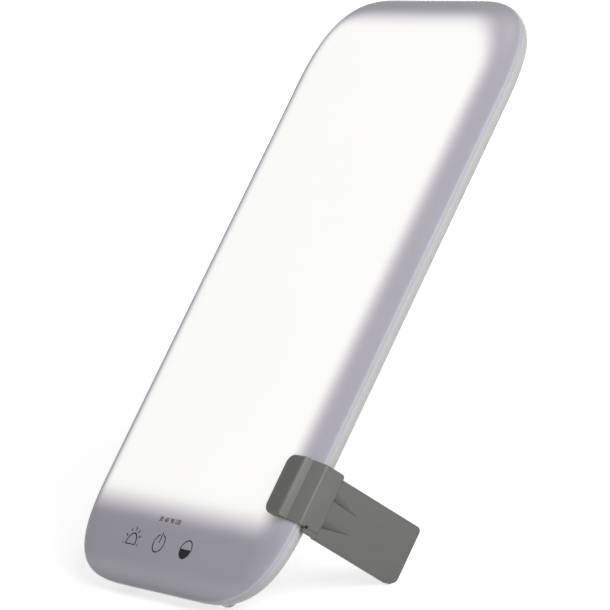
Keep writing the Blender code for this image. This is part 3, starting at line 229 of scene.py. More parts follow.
# a line through the points, made a mesh: filled and thick if it is flat, else a round stroke
def curveMesh(name, points, flat, closed, **settings):
    curve = bpy.data.curves.new(name, "CURVE")
    curve.dimensions = "2D" if flat else "3D"
    for key, value in settings.items():
        setattr(curve, key, value)
    spline = curve.splines.new("POLY")
    spline.points.add(len(points) - 1)
    spline.use_cyclic_u = closed
    for point, (a, b) in zip(spline.points, points):
        point.co = (a, b, 0, 1) if flat else (a, 0, b, 1)
    piece = bpy.data.objects.new(name, curve)
    bpy.context.scene.collection.objects.link(piece)
    makeActive(piece)
    bpy.ops.object.convert(target="MESH")
    return bpy.context.active_object


# an outline given thickness: its points are (x, depth) in a "section", (depth, rise) from the "side"
# and (x, rise) from the "front"
def outlineMesh(name, points, low, high, plane):
    curveMesh(name, points, True, True, fill_mode="BOTH", extrude=(high - low) / 2)
    piece = namePiece(name)
    middle = (low + high) / 2
    if plane == "section":
        piece.matrix_world = Matrix.Translation((0, 0, middle))
    elif plane == "front":
        piece.matrix_world = Matrix.Translation((0, middle, 0)) @ Matrix.Rotation(math.radians(90), 4, "X")
    else:
        turn = Matrix(((0, 0, 1, 0), (1, 0, 0, 0), (0, 1, 0, 0), (0, 0, 0, 1)))
        piece.matrix_world = Matrix.Translation((middle, 0, 0)) @ turn
    applyAll(piece)
    mergeFlat(piece)
    bpy.ops.mesh.normals_make_consistent(inside=False)
    endEdit()
    return piece


# The two covers

panel = {
    "width": 0.1643,
    "height": 0.3000,
    "corner": 0.0529,
    "cornerProfile": 0.63,      # the bevel profile of a corner squarer than a circle, which has 0.5
    "cornerSegments": 28,
    "rimDepth": 0.0120,
    "seam": 0.0050,             # how deep the front cover reaches
    "seamGap": 0.00012,
    "seamRounding": (0.00013, 2, 60.0),     # width, segments and the least turn that is rounded
    "frontRoll": (0.0162, 0.0046),          # how far it goes across the face and how deep
    "backRoll": 0.0062,
    "rollSegments": 18,
    "coverWall": 0.0018,
    "backWall": 0.0020,
}


# a flat outline with rounded corners, in edit mode, facing the front (-1) or the back (1)
def startPlate(name, halfWidth, low, high, corner, profile, depth, facing):
    clearSelection()
    bpy.ops.mesh.primitive_plane_add(
        size=1, location=(0, depth, (low + high) / 2), rotation=(math.radians(-90 * facing), 0, 0)
    )
    piece = namePiece(name)
    piece.scale = (2 * halfWidth, high - low, 1)
    applyAll(piece)
    startEdit(piece)
    bpy.ops.mesh.bevel(
        offset=corner, offset_type="OFFSET", segments=panel["cornerSegments"], profile=profile,
        affect="VERTICES", clamp_overlap=False,
    )
    bpy.ops.mesh.select_mode(type="FACE")
    bpy.ops.mesh.select_all(action="SELECT")
    return piece


# the panel's whole outline, as a plate
def startPanel(name, depth, facing):
    halfWidth, halfHeight = panel["width"] / 2, panel["height"] / 2
    return startPlate(
        name, halfWidth, -halfHeight, halfHeight, panel["corner"], panel["cornerProfile"], depth, facing
    )


# raises a plate through the steps (inset, height), which leaves a shell that is open below
def raisePlate(steps):
    lastInset, lastHeight = 0, 0
    for inset, height in steps:
        bpy.ops.mesh.inset(thickness=inset - lastInset, depth=height - lastHeight, use_even_offset=True)
        lastInset, lastHeight = inset, height


# closes the raised shell, so that it can join or cut
def closePlate():
    bpy.ops.mesh.select_all(action="SELECT")
    bpy.ops.mesh.fill_holes(sides=0)
    bpy.ops.mesh.normals_make_consistent(inside=False)


# the steps round a rolled edge that starts at an inset and a height
def rollSteps(inset, height, across, deep, segments):
    return [(inset + across * (1 - math.cos(a)), height + deep * math.sin(a)) for a in quarter(segments)]


def finishCover(piece, material, node, slot):
    roundEdges(piece, *panel["seamRounding"])
    smooth(piece)
    return leanBack(piece, "panel", material, node, slot=slot)


# the opal cover: the outline, the rolled front edge and the wall behind it
def buildFrontCover():
    across, deep = panel["frontRoll"]
    piece = startPanel("opalFrontCover", panel["seam"], -1)
    raisePlate(rollSteps(0, panel["seam"] - deep, across, deep, panel["rollSegments"]))
    applyModifier(piece, "SOLIDIFY", thickness=panel["coverWall"], offset=-1, use_even_offset=True)
    return finishCover(piece, materials["opal"], "front_cover", "opal_cover")


crown = {
    "width": 0.1220,
    "low": -0.0700,
    "top": 0.1280,
    "corner": 0.0180,
    "cornerProfile": 0.5,
    "back": 0.0220,             # how deep it reaches behind the panel's front face
    "roll": 0.0035,
    "rollSegments": 10,
    "flare": 0.0020,            # the hollow curve with which it leaves the tray
    "flareSegments": 8,
    "sunk": 0.0002,             # how deep its base lies inside the tray's wall
    "draft": 0.0010,
    "wall": 0.0020,
    "inlet": {"x": -0.0240, "depth": 0.0160, "radius": 0.0032, "end": 0.0055},
}


# the crown's outside, which flares out of the tray and rounds over to a flat back
def crownForm():
    flare, roll, draft, sunk = crown["flare"], crown["roll"], crown["draft"], crown["sunk"]
    base = panel["rimDepth"] - sunk
    angles = quarter(crown["flareSegments"])
    steps = [(flare * math.sin(a), sunk + flare * (1 - math.cos(a))) for a in angles]
    steps += rollSteps(flare + draft, crown["back"] - roll - base, roll, roll, crown["rollSegments"])
    form = startPlate(
        "crown", crown["width"] / 2 + flare, crown["low"] - flare, crown["top"] + flare,
        crown["corner"] + flare, crown["cornerProfile"], base, 1,
    )
    raisePlate(steps)
    closePlate()
    return form


# the room inside the crown, open to the tray
def crownHollow():
    wall, draft, roll = crown["wall"], crown["draft"], crown["roll"]
    start = panel["rimDepth"] - panel["backWall"] - overrun
    height = crown["back"] - wall - start
    hollow = startPlate(
        "crownHollow", crown["width"] / 2 - wall, crown["low"] + wall, crown["top"] - wall,
        crown["corner"] - wall, crown["cornerProfile"], start, 1,
    )
    raisePlate([(0, height - roll), (draft, height - roll), (draft + roll / 2, height)])
    closePlate()
    return hollow


# the white tray with its raised crown, the power inlet and the screws' counterbores
def buildBackCover():
    start = panel["seam"] + panel["seamGap"]
    roll = panel["backRoll"]
    piece = startPanel("whiteBackCover", start, 1)
    raisePlate(rollSteps(0, panel["rimDepth"] - roll - start, roll, roll, panel["rollSegments"]))
    applyModifier(piece, "SOLIDIFY", thickness=panel["backWall"], offset=-1, use_even_offset=True)
    join(piece, crownForm())
    cut(piece, crownHollow())

    seat, past = panel["rimDepth"] - screw["seat"], panel["rimDepth"] + 2 * overrun
    hole = screw["shank"] + screw["play"]
    for x, rise in screwPlaces():
        cut(piece, depthRod("counterbore", x, rise, seat, past, screw["bore"]))
        cut(piece, depthRod("hole", x, rise, seat - 3 * overrun, seat + overrun, hole, screw["shankSides"]))
    inlet = crown["inlet"]
    line = (inlet["x"], inlet["depth"])
    low, high = crown["low"] - 2 * overrun, crown["low"] + inlet["end"]
    cut(piece, rod("inlet", (*line, low), (*line, high), inlet["radius"]))
    start, end = foot["holeDepths"]
    for x in (-foot["x"], foot["x"]):
        cut(piece, depthRod("studHole", x, foot["rise"], start, end, foot["hole"], foot["holeSides"]))
    return finishCover(piece, materials["housing"], "back_cover", "housing_white")


screw = {
    "inset": 0.0101,            # from the panel's edge
    "sideRises": (0.0849, -0.0561),
    "topSpread": 0.0280,
    "lowSpread": 0.0180,
    "seat": 0.0012,
    "bore": 0.0029,
    "head": 0.0023,
    "headHeight": 0.0010,
    "shank": 0.0011,
    "length": 0.0070,
    "play": 0.0003,             # round the shank and under the head
    "cross": 0.0016,
    "crossWidth": 0.00045,
    "crossDepth": 0.0006,
    "rounding": (0.00012, 2, 50.0),
    "headSides": 40,
    "shankSides": 24,
}


def screwPlaces():
    side = panel["width"] / 2 - screw["inset"]
    end = panel["height"] / 2 - screw["inset"]
    places = [(sign * side, rise) for rise in screw["sideRises"] for sign in (-1, 1)]
    places += [(sign * screw["topSpread"], end) for sign in (-1, 1)]
    places += [(sign * screw["lowSpread"], -end) for sign in (-1, 1)]
    return places


# one screw with a cross recess in its head, copied to every place
def buildScrews():
    seat = panel["rimDepth"] - screw["seat"] + screw["play"]
    top = seat + screw["headHeight"]
    head = depthRod("coverScrew", 0, 0, seat, top, screw["head"], screw["headSides"])
    start, end = seat + screw["play"], seat - screw["length"]
    join(head, depthRod("shank", 0, 0, start, end, screw["shank"], screw["shankSides"]))
    long, thin = screw["cross"], screw["crossWidth"]
    for wide, high in ((long, thin), (thin, long)):
        cut(head, block("cross", (-wide, top - screw["crossDepth"], -high), (wide, top + overrun, high)))
    roundEdges(head, *screw["rounding"])
    smooth(head)
    for number, (x, rise) in enumerate(screwPlaces(), 1):
        copy = head.copy()
        copy.data = head.data.copy()
        copy.name = f"coverScrew{number}"
        bpy.context.scene.collection.objects.link(copy)
        copy.data.transform(Matrix.Translation((x, 0, rise)))
        leanBack(copy, "panel", materials["steel"], f"cover_screw_{number}", slot="zinc_steel")
    bpy.data.objects.remove(head)


foot = {
    "x": 0.0400,                # each side of the panel's middle
    "rise": -0.1410,
    "radius": 0.0060,
    "sides": 72,
    "depths": (0.0123, 0.0176),
    "rounding": (0.0015, 6, 50.0),
    "stud": 0.0020,
    "studSides": 32,
    "studDepths": (0.0100, 0.0130),
    "hole": 0.0023,
    "holeSides": 24,
    "holeDepths": (0.0080, 0.0140),
}


def buildFeet():
    for side, word in ((-1, "left"), (1, "right")):
        x, rise = side * foot["x"], foot["rise"]
        name = "rubberFoot" + word.capitalize()
        piece = depthRod(name, x, rise, *foot["depths"], foot["radius"], foot["sides"])
        roundEdges(piece, *foot["rounding"])
        join(piece, depthRod("stud", x, rise, *foot["studDepths"], foot["stud"], foot["studSides"]))
        smooth(piece)
        leanBack(piece, "panel", materials["foot"], "foot_" + word, slot="clear_grey_rubber")
        cutAtTable(piece)


# The clip and the leg

clip = {
    "low": pivot["rise"],
    "top": -0.0790,
    "sideX": 0.08505,
    "padX": 0.06535,
    "padDepth": -0.0042,
    "padFall": 0.0001,          # how much less the pad stands out at its riser
    "padDraft": 0.0007,
    "bandX": 0.07885,
    "bandDepth": 0.0001,
    "creaseDepth": 0.0037,
    "back": 0.0141,
    "gap": 0.0003,
    "slotPast": 0.0030,         # how far the slot for the rim goes past the pad's edge
    "slotSegments": (12, 16),   # round its back and its front
    "padCorner": (0.0045, 12),  # width and segments
    "backCorner": (0.0015, 5),
    "padRounding": (0.0012, 5),
    "rounding": (0.00045, 3),
    "pocketHalf": 0.0103,       # half the height of the liners' pockets
    "frontPocket": ((0.0017, -0.00145), (0.0103, 0.0015)),      # x from the pad's edge, and depth
    "backPocket": ((0.0027, 0.0110), (0.0113, 0.0134)),
    "notch": {"x": 0.0020, "depths": (0.0067, 0.0082), "height": 0.0009},
    "ear": 0.0040,              # the length of each hinge ear
    "earBelow": 0.0015,         # the upper ear's top, below the leg's
    "earRounding": (0.0003, 2),
    "earRoot": 0.0003,          # how deep an ear's root goes into the back jaw
}


# the panel's section with a gap round it, from the back of the rim to the front face
def slotSection(start):
    halfWidth, gap = panel["width"] / 2, clip["gap"]
    across, deep = panel["frontRoll"]
    rim, back = panel["rimDepth"], panel["backRoll"]
    backSegments, frontSegments = clip["slotSegments"]
    section = [(start, rim + gap)]
    for a in reversed(quarter(backSegments)):
        inset = back * (1 - math.cos(a)) - gap * math.cos(a)
        section.append((halfWidth - inset, rim - back * (1 - math.sin(a)) + gap * math.sin(a)))
    for a in quarter(frontSegments):
        inset = across * (1 - math.cos(a)) - gap * math.cos(a)
        section.append((halfWidth - inset, deep * (1 - math.sin(a)) - gap * math.sin(a)))
    return section + [(start, -gap)]


# where the clip's two hinge ears start and end, and the leg's knuckle between them
def earSpans():
    top = leg["top"] - clip["earBelow"]
    return [(clip["low"], clip["low"] + clip["ear"]), (top - clip["ear"], top)]


def knuckleSpan():
    low, top = earSpans()
    return low[1] + leg["washerGap"], top[0] - leg["washerGap"]


# the pad, the band and the side wall in one section, with the visible edges rounded
def clipForm():
    x, side, back, face = clip["padX"], clip["sideX"], clip["back"], clip["padDepth"]
    band = clip["bandDepth"]
    section = [
        (x, back), (x, face), (clip["bandX"] - clip["padDraft"], face + clip["padFall"]),
        (clip["bandX"], band), (side, clip["creaseDepth"]), (side, back),
    ]
    piece = outlineMesh("rimClip", section, clip["low"], clip["top"], "section")

    def padCorner(a, b):
        return near(a.x, b.x, x) and near(a.z, b.z)

    def backEdge(a, b):
        return near(a.y, b.y, back) and not near(a.x, b.x, side) and not near(a.z, b.z, clip["low"])

    def padEdge(a, b):
        return near(a.y, face) and near(b.y, face)

    def otherEdge(a, b):
        return not (near(a.x, b.x, side) and near(a.y, b.y, back)) and not near(a.y, b.y, band)

    bevelWhere(piece, padCorner, *clip["padCorner"])
    bevelWhere(piece, backEdge, *clip["backCorner"])
    bevelWhere(piece, padEdge, *clip["padRounding"])
    bevelWhere(piece, otherEdge, *clip["rounding"], clamp=True)
    return piece


def buildEar(low, high):
    x, depth, radius, back = pivot["x"], pivot["depth"], pivot["radius"], clip["back"]
    ear = hingeRod("ear", low, high, radius)
    start = (x - radius + tuck, back - clip["earRoot"], low + tuck)
    join(ear, block("earRoot", start, (x + radius - tuck, depth, high - tuck)))
    bevelWhere(ear, lambda a, b: min(a.y, b.y) > back + overrun, *clip["earRounding"], clamp=True)
    return ear


# the clip: raised pad, band, side wall, back jaw, the slot for the rim and the hinge ears
def buildClip():
    x, side, low = clip["padX"], clip["sideX"], clip["low"]
    piece = clipForm()
    slot = slotSection(x - clip["slotPast"])
    cut(piece, outlineMesh("rimSlot", slot, low - overrun, clip["top"] + overrun, "section"))
    middle = (low + clip["top"]) / 2
    for name in ("frontPocket", "backPocket"):
        (left, start), (right, end) = clip[name]
        corner = (x + left, start, middle - clip["pocketHalf"])
        cut(piece, block(name, corner, (x + right, end, middle + clip["pocketHalf"])))
    notch = clip["notch"]
    start, end = notch["depths"]
    corner = (side - notch["x"], start, low - overrun)
    cut(piece, block("notch", corner, (side + overrun, end, low + notch["height"])))
    for span in earSpans():
        join(piece, buildEar(*span))
    cut(piece, hingeRod("bore", low - overrun, clip["top"], pivot["bore"]))
    smooth(piece)
    return leanBack(piece, "clip", materials["clip"], "clip_body", slot="clip_grey_green")


leg = {
    "low": -0.1095,
    "top": -0.0810,
    "root": 0.0142,             # the depth at which the plate starts, behind the clip
    "end": 0.06137,
    "plate": 0.0041,
    "topCorner": 0.0022,
    "lowCorner": 0.0046,
    "cornerSegments": 14,
    "rounding": (0.00045, 3),
    "washerGap": 0.0011,
    "tabFront": 0.0067,
    "tabTop": -0.10712,
    "tabStep": {"x": 0.0020, "depth": 0.0015, "rise": 0.0005},
    "grooves": (                # each one's top, bottom, tip and reach
        (-0.0872, -0.0912, -0.0918, 0.0147),
        (-0.0995, -0.1043, -0.1003, 0.0147),
    ),
    "grooveDepth": 0.0024,
    "grooveEnd": 0.00002,       # what a groove's depth and height come down to
}


# the plate as it is seen from the side, with its two rounded far corners
def legPlate():
    inner = clip["sideX"] - leg["plate"]
    outline = [(leg["root"], leg["low"]), (leg["root"], leg["top"])]
    corners = (
        (leg["top"] - leg["topCorner"], leg["topCorner"], 90),
        (leg["low"] + leg["lowCorner"], leg["lowCorner"], 0),
    )
    for rise, radius, start in corners:
        centre = leg["end"] - radius
        for a in quarter(leg["cornerSegments"]):
            angle = math.radians(start) - a
            outline.append((centre + radius * math.cos(angle), rise + radius * math.sin(angle)))
    piece = outlineMesh("foldingLeg", outline, inner, clip["sideX"], "side")
    bevelWhere(piece, lambda a, b: not near(a.y, b.y, leg["root"]), *leg["rounding"], clamp=True)
    return piece


# two pointed grooves beside a tongue, each deeper towards its lower side
def cutGrooves(piece):
    x, fine = clip["sideX"], leg["grooveEnd"]
    for top, bottom, tip, reach in leg["grooves"]:
        start, end = leg["root"] - overrun, leg["root"] + reach
        waste = block("groove", (x - overrun, start, bottom), (x + overrun, end, top))
        for corner in waste.data.vertices:
            atEnd, low = corner.co.y > leg["root"], corner.co.z < (top + bottom) / 2
            if corner.co.x < x:
                corner.co.x = x - leg["grooveDepth"] if low and not atEnd else x - fine
            if atEnd:
                corner.co.z = tip - fine if low else tip + fine
        cut(piece, waste)


# the folding leg: plate, knuckle, which is left solid round the pin, stop tab and two grooves
def buildLeg():
    x, front, tabTop = clip["sideX"], leg["tabFront"], leg["tabTop"]
    depth, radius = pivot["depth"], pivot["radius"]
    piece = legPlate()
    low, high = knuckleSpan()
    join(piece, hingeRod("knuckle", low, high, radius))
    web = (x - leg["plate"] + leg["plate"] / 2, depth + radius - tuck, high - tuck)
    join(piece, block("web", (pivot["x"], depth - radius + tuck, low + tuck), web))
    tab = (panel["width"] / 2 + clip["gap"] + tuck, front, leg["low"] + tuck)
    join(piece, block("tab", tab, (x - tuck, leg["root"] + overrun, tabTop)))
    cutGrooves(piece)
    step = leg["tabStep"]
    corner = (x - step["x"], front - overrun, tabTop - step["rise"])
    cut(piece, block("tabStep", corner, (x + overrun, front + step["depth"], tabTop + overrun)))
    smooth(piece)
    leanBack(piece, "leg", materials["leg"], "leg_plate", slot="leg_grey_green")
    cutAtTable(piece)


pin = {
    "radius": 0.0015,
    "head": 0.0026,
    "past": 0.0005,             # the shaft's end above the upper ear, inside the head
    "headSpan": (0.0003, 0.0012),
    "rounding": (0.0004, 4, 50.0),
    "sides": 40,
}


def buildHingePin():
    (low, _), (_, top) = earSpans()
    start, end = pin["headSpan"]
    piece = hingeRod("hingePin", low, top + pin["past"], pin["radius"], pin["sides"])
    head = hingeRod("pinHead", top + start, top + end, pin["head"], pin["sides"])
    roundEdges(head, *pin["rounding"])
    join(piece, head)
    smooth(piece)
    leanBack(piece, "clip", materials["steel"], "hinge_pin", slot="zinc_steel")


# Printed marks

marks = {
    "lift": 0.00006,            # how far the print stands in front of the cover
    "thickness": 0.00004,
    "line": 0.00060,
    "sunrise": {
        "x": -0.0303,
        "base": -0.1326,
        "halfWidth": 0.0040,
        "height": 0.0053,
        "dots": 0.0061,
        "halfDot": 0.0003,
        "rays": (               # each one's angle, inner and outer end
            (37, 0.0057, 0.0075), (64, 0.0063, 0.0079), (90, 0.0066, 0.0085),
            (115, 0.0066, 0.0081), (143, 0.0058, 0.0075),
        ),
    },
    "power": {"x": -0.00765, "rise": -0.1296, "radius": 0.0043, "gap": 20, "bar": (-0.1294, -0.1242)},
    "brightness": {"x": 0.0155, "rise": -0.1299, "radius": 0.0043},
    "timer": {
        "start": -0.0147,
        "pitch": 0.00474,
        "rise": -0.1184,
        "size": 0.0031,
        "weight": 0.00004,
        "words": ("30", "60", "90", "120"),
    },
}


# lines with round ends along the routes, joined as one mark
def strokes(name, routes):
    pieces = []
    for points, closed in routes:
        settings = {"bevel_depth": marks["line"] / 2, "bevel_resolution": 3, "use_fill_caps": True}
        pieces.append(curveMesh(name, points, False, closed, **settings))
    clearSelection()
    for item in pieces:
        item.select_set(True)
    bpy.context.view_layer.objects.active = pieces[0]
    if len(pieces) > 1:
        bpy.ops.object.join()
    return namePiece(name)


# flattens a mark to a thin print just in front of the cover
def printOn(piece, ink="ink"):
    points = piece.data.vertices
    low, high = min(v.co.y for v in points), max(v.co.y for v in points)
    scale = marks["thickness"] / (high - low)
    for v in points:
        v.co.y = -marks["lift"] + (v.co.y - high) * scale
    startEdit(piece)
    bpy.ops.mesh.remove_doubles(threshold=fineWeld)
    bpy.ops.mesh.normals_make_consistent(inside=False)
    endEdit()
    leanBack(piece, "panel", materials[ink])


# points from one angle to another, in degrees from the right, anticlockwise
def arc(x, rise, radiusX, radiusZ, start, end, count=40):
    angles = [math.radians(start + (end - start) * step / count) for step in range(count + 1)]
    return [(x + radiusX * math.cos(a), rise + radiusZ * math.sin(a)) for a in angles]


def buildSunrise():
    sun = marks["sunrise"]
    x, base = sun["x"], sun["base"]
    routes = [(arc(x, base, sun["halfWidth"], sun["height"], 0, 180), True)]
    for side in (x - sun["dots"], x + sun["dots"]):
        routes.append(([(side - sun["halfDot"], base), (side + sun["halfDot"], base)], False))
    for degrees, inner, outer in sun["rays"]:
        a = math.radians(degrees)
        routes.append(([(x + r * math.cos(a), base + r * math.sin(a)) for r in (inner, outer)], False))
    printOn(strokes("sunriseMark", routes))


def buildPower():
    power = marks["power"]
    x, rise, radius, gap = (power[key] for key in ("x", "rise", "radius", "gap"))
    ring = arc(x, rise, radius, radius, 90 + gap, 450 - gap, 60)
    printOn(strokes("powerMark", [(ring, False), ([(x, end) for end in power["bar"]], False)]))


def buildBrightness():
    disc = marks["brightness"]
    place = (disc["x"], disc["rise"], disc["radius"], disc["radius"])
    printOn(strokes("brightnessRing", [(arc(*place, 0, 360, 60)[:-1], True)]))
    printOn(outlineMesh("brightnessHalf", arc(*place, 180, 360), 0, marks["thickness"], "front"))


def buildTimer():
    timer = marks["timer"]
    for index, word in enumerate(timer["words"]):
        clearSelection()
        bpy.ops.object.text_add(rotation=(math.radians(90), 0, 0))
        text = bpy.context.active_object.data
        text.body = word
        text.size = timer["size"]
        text.align_x = "CENTER"
        text.align_y = "CENTER"
        text.extrude = marks["thickness"]
        text.offset = timer["weight"]
        bpy.ops.object.convert(target="MESH")
        piece = namePiece("timerNumber" + word)
        piece.location = (timer["start"] + timer["pitch"] * index, 0, timer["rise"])
        applyAll(piece)
        printOn(piece, "dimInk")


# Materials

tones = {
    "coverWhite": (0.405, 0.396, 0.455),
    "housingWhite": (0.559, 0.554, 0.550),
    "clipGrey": (0.138, 0.143, 0.127),
    # painted shade for the flat of the clip's pad
    "padShadeGrey": (0.096, 0.094, 0.091),
    # a painted highlight for the clip's riser
    "riserHighlightGrey": (0.168, 0.172, 0.158),
    # a painted highlight for the clip's crease
    "creaseHighlightGrey": (0.240, 0.242, 0.224),
    "legGrey": (0.130, 0.132, 0.122),
    "footGrey": (0.80, 0.80, 0.82),
    "ink": (0.012, 0.012, 0.016),
    "dimInk": (0.105, 0.098, 0.100),
}
# what all the surfaces share: their grain's height and detail, and how much their roughness varies
surface = {"relief": 0.0001, "detail": 3.0, "spread": 0.06, "leastRoughness": 0.03}


def newMaterial(name):
    material = bpy.data.materials.new(name)
    material.use_nodes = True
    tree = material.node_tree
    return material, tree, tree.nodes["Principled BSDF"]


# noise in the piece's own coordinates
def addNoise(tree, scale, detail=2.0):
    place = tree.nodes.new("ShaderNodeTexCoord")
    noise = tree.nodes.new("ShaderNodeTexNoise")
    noise.inputs["Scale"].default_value = scale
    noise.inputs["Detail"].default_value = detail
    tree.links.new(place.outputs["Object"], noise.inputs["Vector"])
    return noise.outputs["Fac"]


# fine relief over the whole piece
def addGrain(tree, shader, scale, strength):
    noise = addNoise(tree, scale, surface["detail"])
    bump = tree.nodes.new("ShaderNodeBump")
    bump.inputs["Strength"].default_value = strength
    bump.inputs["Distance"].default_value = surface["relief"]
    tree.links.new(noise, bump.inputs["Height"])
    tree.links.new(bump.outputs["Normal"], shader.inputs["Normal"])
    return noise


def toneRange(tree, source, low, high, start=0.3, end=0.7):
    ramp = tree.nodes.new("ShaderNodeValToRGB")
    for element, tone, position in zip(ramp.color_ramp.elements, (low, high), (start, end)):
        element.color = (*tone, 1)
        element.position = position
    tree.links.new(source, ramp.inputs["Fac"])
    return ramp.outputs["Color"]


# a colour that gets a little darker and paler over the piece
def clouded(tree, color, share, scale):
    low, high = (tuple(channel * factor for channel in color) for factor in (1 - share, 1 + share))
    return toneRange(tree, addNoise(tree, scale), low, high)


# moulded plastic, film or metal: slight tone changes over the piece and a fine moulded grain
def plastic(
    name, color, roughness, grain, strength, mottle=0.06, mottleScale=60.0,
    coat=0.0, metallic=0.0, gloss=0.5,
):
    material, tree, shader = newMaterial(name)
    noise = addGrain(tree, shader, grain, strength)
    tree.links.new(clouded(tree, color, mottle, mottleScale), shader.inputs["Base Color"])
    rough = tree.nodes.new("ShaderNodeMapRange")
    rough.inputs["To Min"].default_value = max(surface["leastRoughness"], roughness - surface["spread"])
    rough.inputs["To Max"].default_value = roughness + surface["spread"]
    tree.links.new(noise, rough.inputs["Value"])
    tree.links.new(rough.outputs["Result"], shader.inputs["Roughness"])
    shader.inputs["Metallic"].default_value = metallic
    shader.inputs["Coat Weight"].default_value = coat
    shader.inputs["Specular IOR Level"].default_value = gloss
    return material


# the place on the panel: x across it, depth through it and rise up it
def panelCoordinates(tree):
    place = tree.nodes.new("ShaderNodeTexCoord")
    mapping = tree.nodes.new("ShaderNodeMapping")
    mapping.vector_type = "TEXTURE"
    mapping.inputs["Location"].default_value = panelCentre
    mapping.inputs["Rotation"].default_value = (-lean, 0, 0)
    tree.links.new(place.outputs["Object"], mapping.inputs["Vector"])
    split = tree.nodes.new("ShaderNodeSeparateXYZ")
    tree.links.new(mapping.outputs["Vector"], split.inputs["Vector"])
    return split.outputs["X"], split.outputs["Y"], split.outputs["Z"]


def lengthOf(tree, vector):
    node = tree.nodes.new("ShaderNodeVectorMath")
    node.operation = "LENGTH"
    tree.links.new(vector, node.inputs[0])
    return node.outputs["Value"]


# goes softly from low to high while the value goes from start to end
def fade(tree, value, start, end, low=0.0, high=1.0):
    node = tree.nodes.new("ShaderNodeMapRange")
    node.interpolation_type = "SMOOTHSTEP"
    for key, number in (("From Min", start), ("From Max", end), ("To Min", low), ("To Max", high)):
        node.inputs[key].default_value = number
    tree.links.new(value, node.inputs["Value"])
    return node.outputs["Result"]


# nodes' outputs or plain numbers added, multiplied and so on, one after the other
def mathNode(tree, operation, result, *others):
    for other in others:
        node = tree.nodes.new("ShaderNodeMath")
        node.operation = operation
        for socket, value in zip(node.inputs, (result, other)):
            if isinstance(value, (int, float)):
                socket.default_value = value
            else:
                tree.links.new(value, socket)
        result = node.outputs[0]
    return result


# a node's output, or one plain colour, blended into another
def mixed(tree, factor, first, second):
    mix = tree.nodes.new("ShaderNodeMix")
    mix.data_type = "RGBA"
    for key, value in (("Factor", factor), ("A", first), ("B", second)):
        if isinstance(value, tuple):
            mix.inputs[key].default_value = (*value, 1)
        else:
            tree.links.new(value, mix.inputs[key])
    return mix.outputs["Result"]


# where on the cover the light comes through, and how strongly, and where a painted reflection and a painted
# highlight go
glow = {
    "right": 0.0668,            # the middle of the fade on the right and at the top
    "top": 0.1396,
    "softness": 0.0158,
    "corner": 0.0300,
    "low": (-0.1216, -0.1042),
    "roll": (0.0001, 0.0015),   # depths on the rolled edge where the light ends
    "strength": 0.55,
    "spill": 0.16,              # light that reaches the unlit margins through the opal plastic
    "controls": 0.025,          # and the area with the marks
    "spillLow": (-0.1250, -0.1000),
    "spillTop": (0.1350, 0.1470, 1.0, 0.2),     # where it starts and ends, and the shares of light there
    "spillSide": (0.0700, 0.0815, 1.0, 0.5),
    "spillRoll": (0.0014, 0.0040, 1.0, 0.2),
    # a painted reflection along the low rolled edge: where it fades out upwards, where it fades in from the
    # edge, and how bright it is
    "lowRollReflection": (-0.1445, -0.1375),
    "lowEdge": (-0.1502, -0.1462),
    "rollReflectionStrength": 0.040,
    "lip": (0.0032, 0.0042),    # a painted highlight along the seam, on the right-hand side
    "lipLight": 0.10,
    "lipSide": (0.0300, 0.0600),
    "edgeTint": (1.0, 0.93, 0.95),
    "litTint": (1.0, 1.0, 0.930),
    "litFrom": 0.9,             # the share of light from which it has its full tint
}
opal = {"grain": (900.0, 0.04), "clouds": (0.03, 14.0), "roughness": 0.46, "gloss": 0.22}


# opal plastic, lit from inside over the light guide and fading to its own grey-white at the margins, with a
# painted reflection along the low rolled edge and a painted highlight along the seam
def opalGlow():
    material, tree, shader = newMaterial("opalCover")
    addGrain(tree, shader, *opal["grain"])
    x, depth, rise = panelCoordinates(tree)

    # the lit area, with its rounded upper right corner
    past = tree.nodes.new("ShaderNodeCombineXYZ")
    for key, place, edge in (("X", x, glow["right"]), ("Z", rise, glow["top"])):
        beyond = mathNode(tree, "SUBTRACT", place, edge - glow["corner"])
        tree.links.new(mathNode(tree, "MAXIMUM", beyond, 0.0), past.inputs[key])
    reach = lengthOf(tree, past.outputs["Vector"])
    half = glow["softness"] / 2
    sides = fade(tree, reach, glow["corner"] - half, glow["corner"] + half, 1.0, 0.0)
    onRoll = fade(tree, depth, *glow["roll"], 1.0, 0.0)
    lit = mathNode(tree, "MULTIPLY", sides, fade(tree, rise, *glow["low"]), onRoll)

    # the weaker light round it
    across = mathNode(tree, "ABSOLUTE", x, 0.0)
    spread = mathNode(
        tree, "MULTIPLY", fade(tree, rise, *glow["spillLow"], glow["controls"], glow["spill"]),
        fade(tree, rise, *glow["spillTop"]), fade(tree, across, *glow["spillSide"]),
        fade(tree, depth, *glow["spillRoll"]),
    )
    # a painted reflection in a band along the low rolled edge, fading out at the very edge
    lowRollReflection = fade(tree, rise, *glow["lowRollReflection"], glow["rollReflectionStrength"], 0.0)
    roll = mathNode(tree, "MULTIPLY", lowRollReflection, fade(tree, rise, *glow["lowEdge"]))
    # a painted highlight along the seam, on the right-hand side only
    lipDepth = fade(tree, depth, *glow["lip"], 0.0, glow["lipLight"])
    lip = mathNode(tree, "MULTIPLY", lipDepth, fade(tree, x, *glow["lipSide"]))
    power = mathNode(tree, "ADD", mathNode(tree, "MULTIPLY", lit, glow["strength"]), spread, roll, lip)
    tree.links.new(power, shader.inputs["Emission Strength"])
    tint = toneRange(tree, lit, glow["edgeTint"], glow["litTint"], 0.0, glow["litFrom"])
    tree.links.new(tint, shader.inputs["Emission Color"])

    tree.links.new(clouded(tree, tones["coverWhite"], *opal["clouds"]), shader.inputs["Base Color"])
    shader.inputs["Roughness"].default_value = opal["roughness"]
    shader.inputs["Specular IOR Level"].default_value = opal["gloss"]
    return material


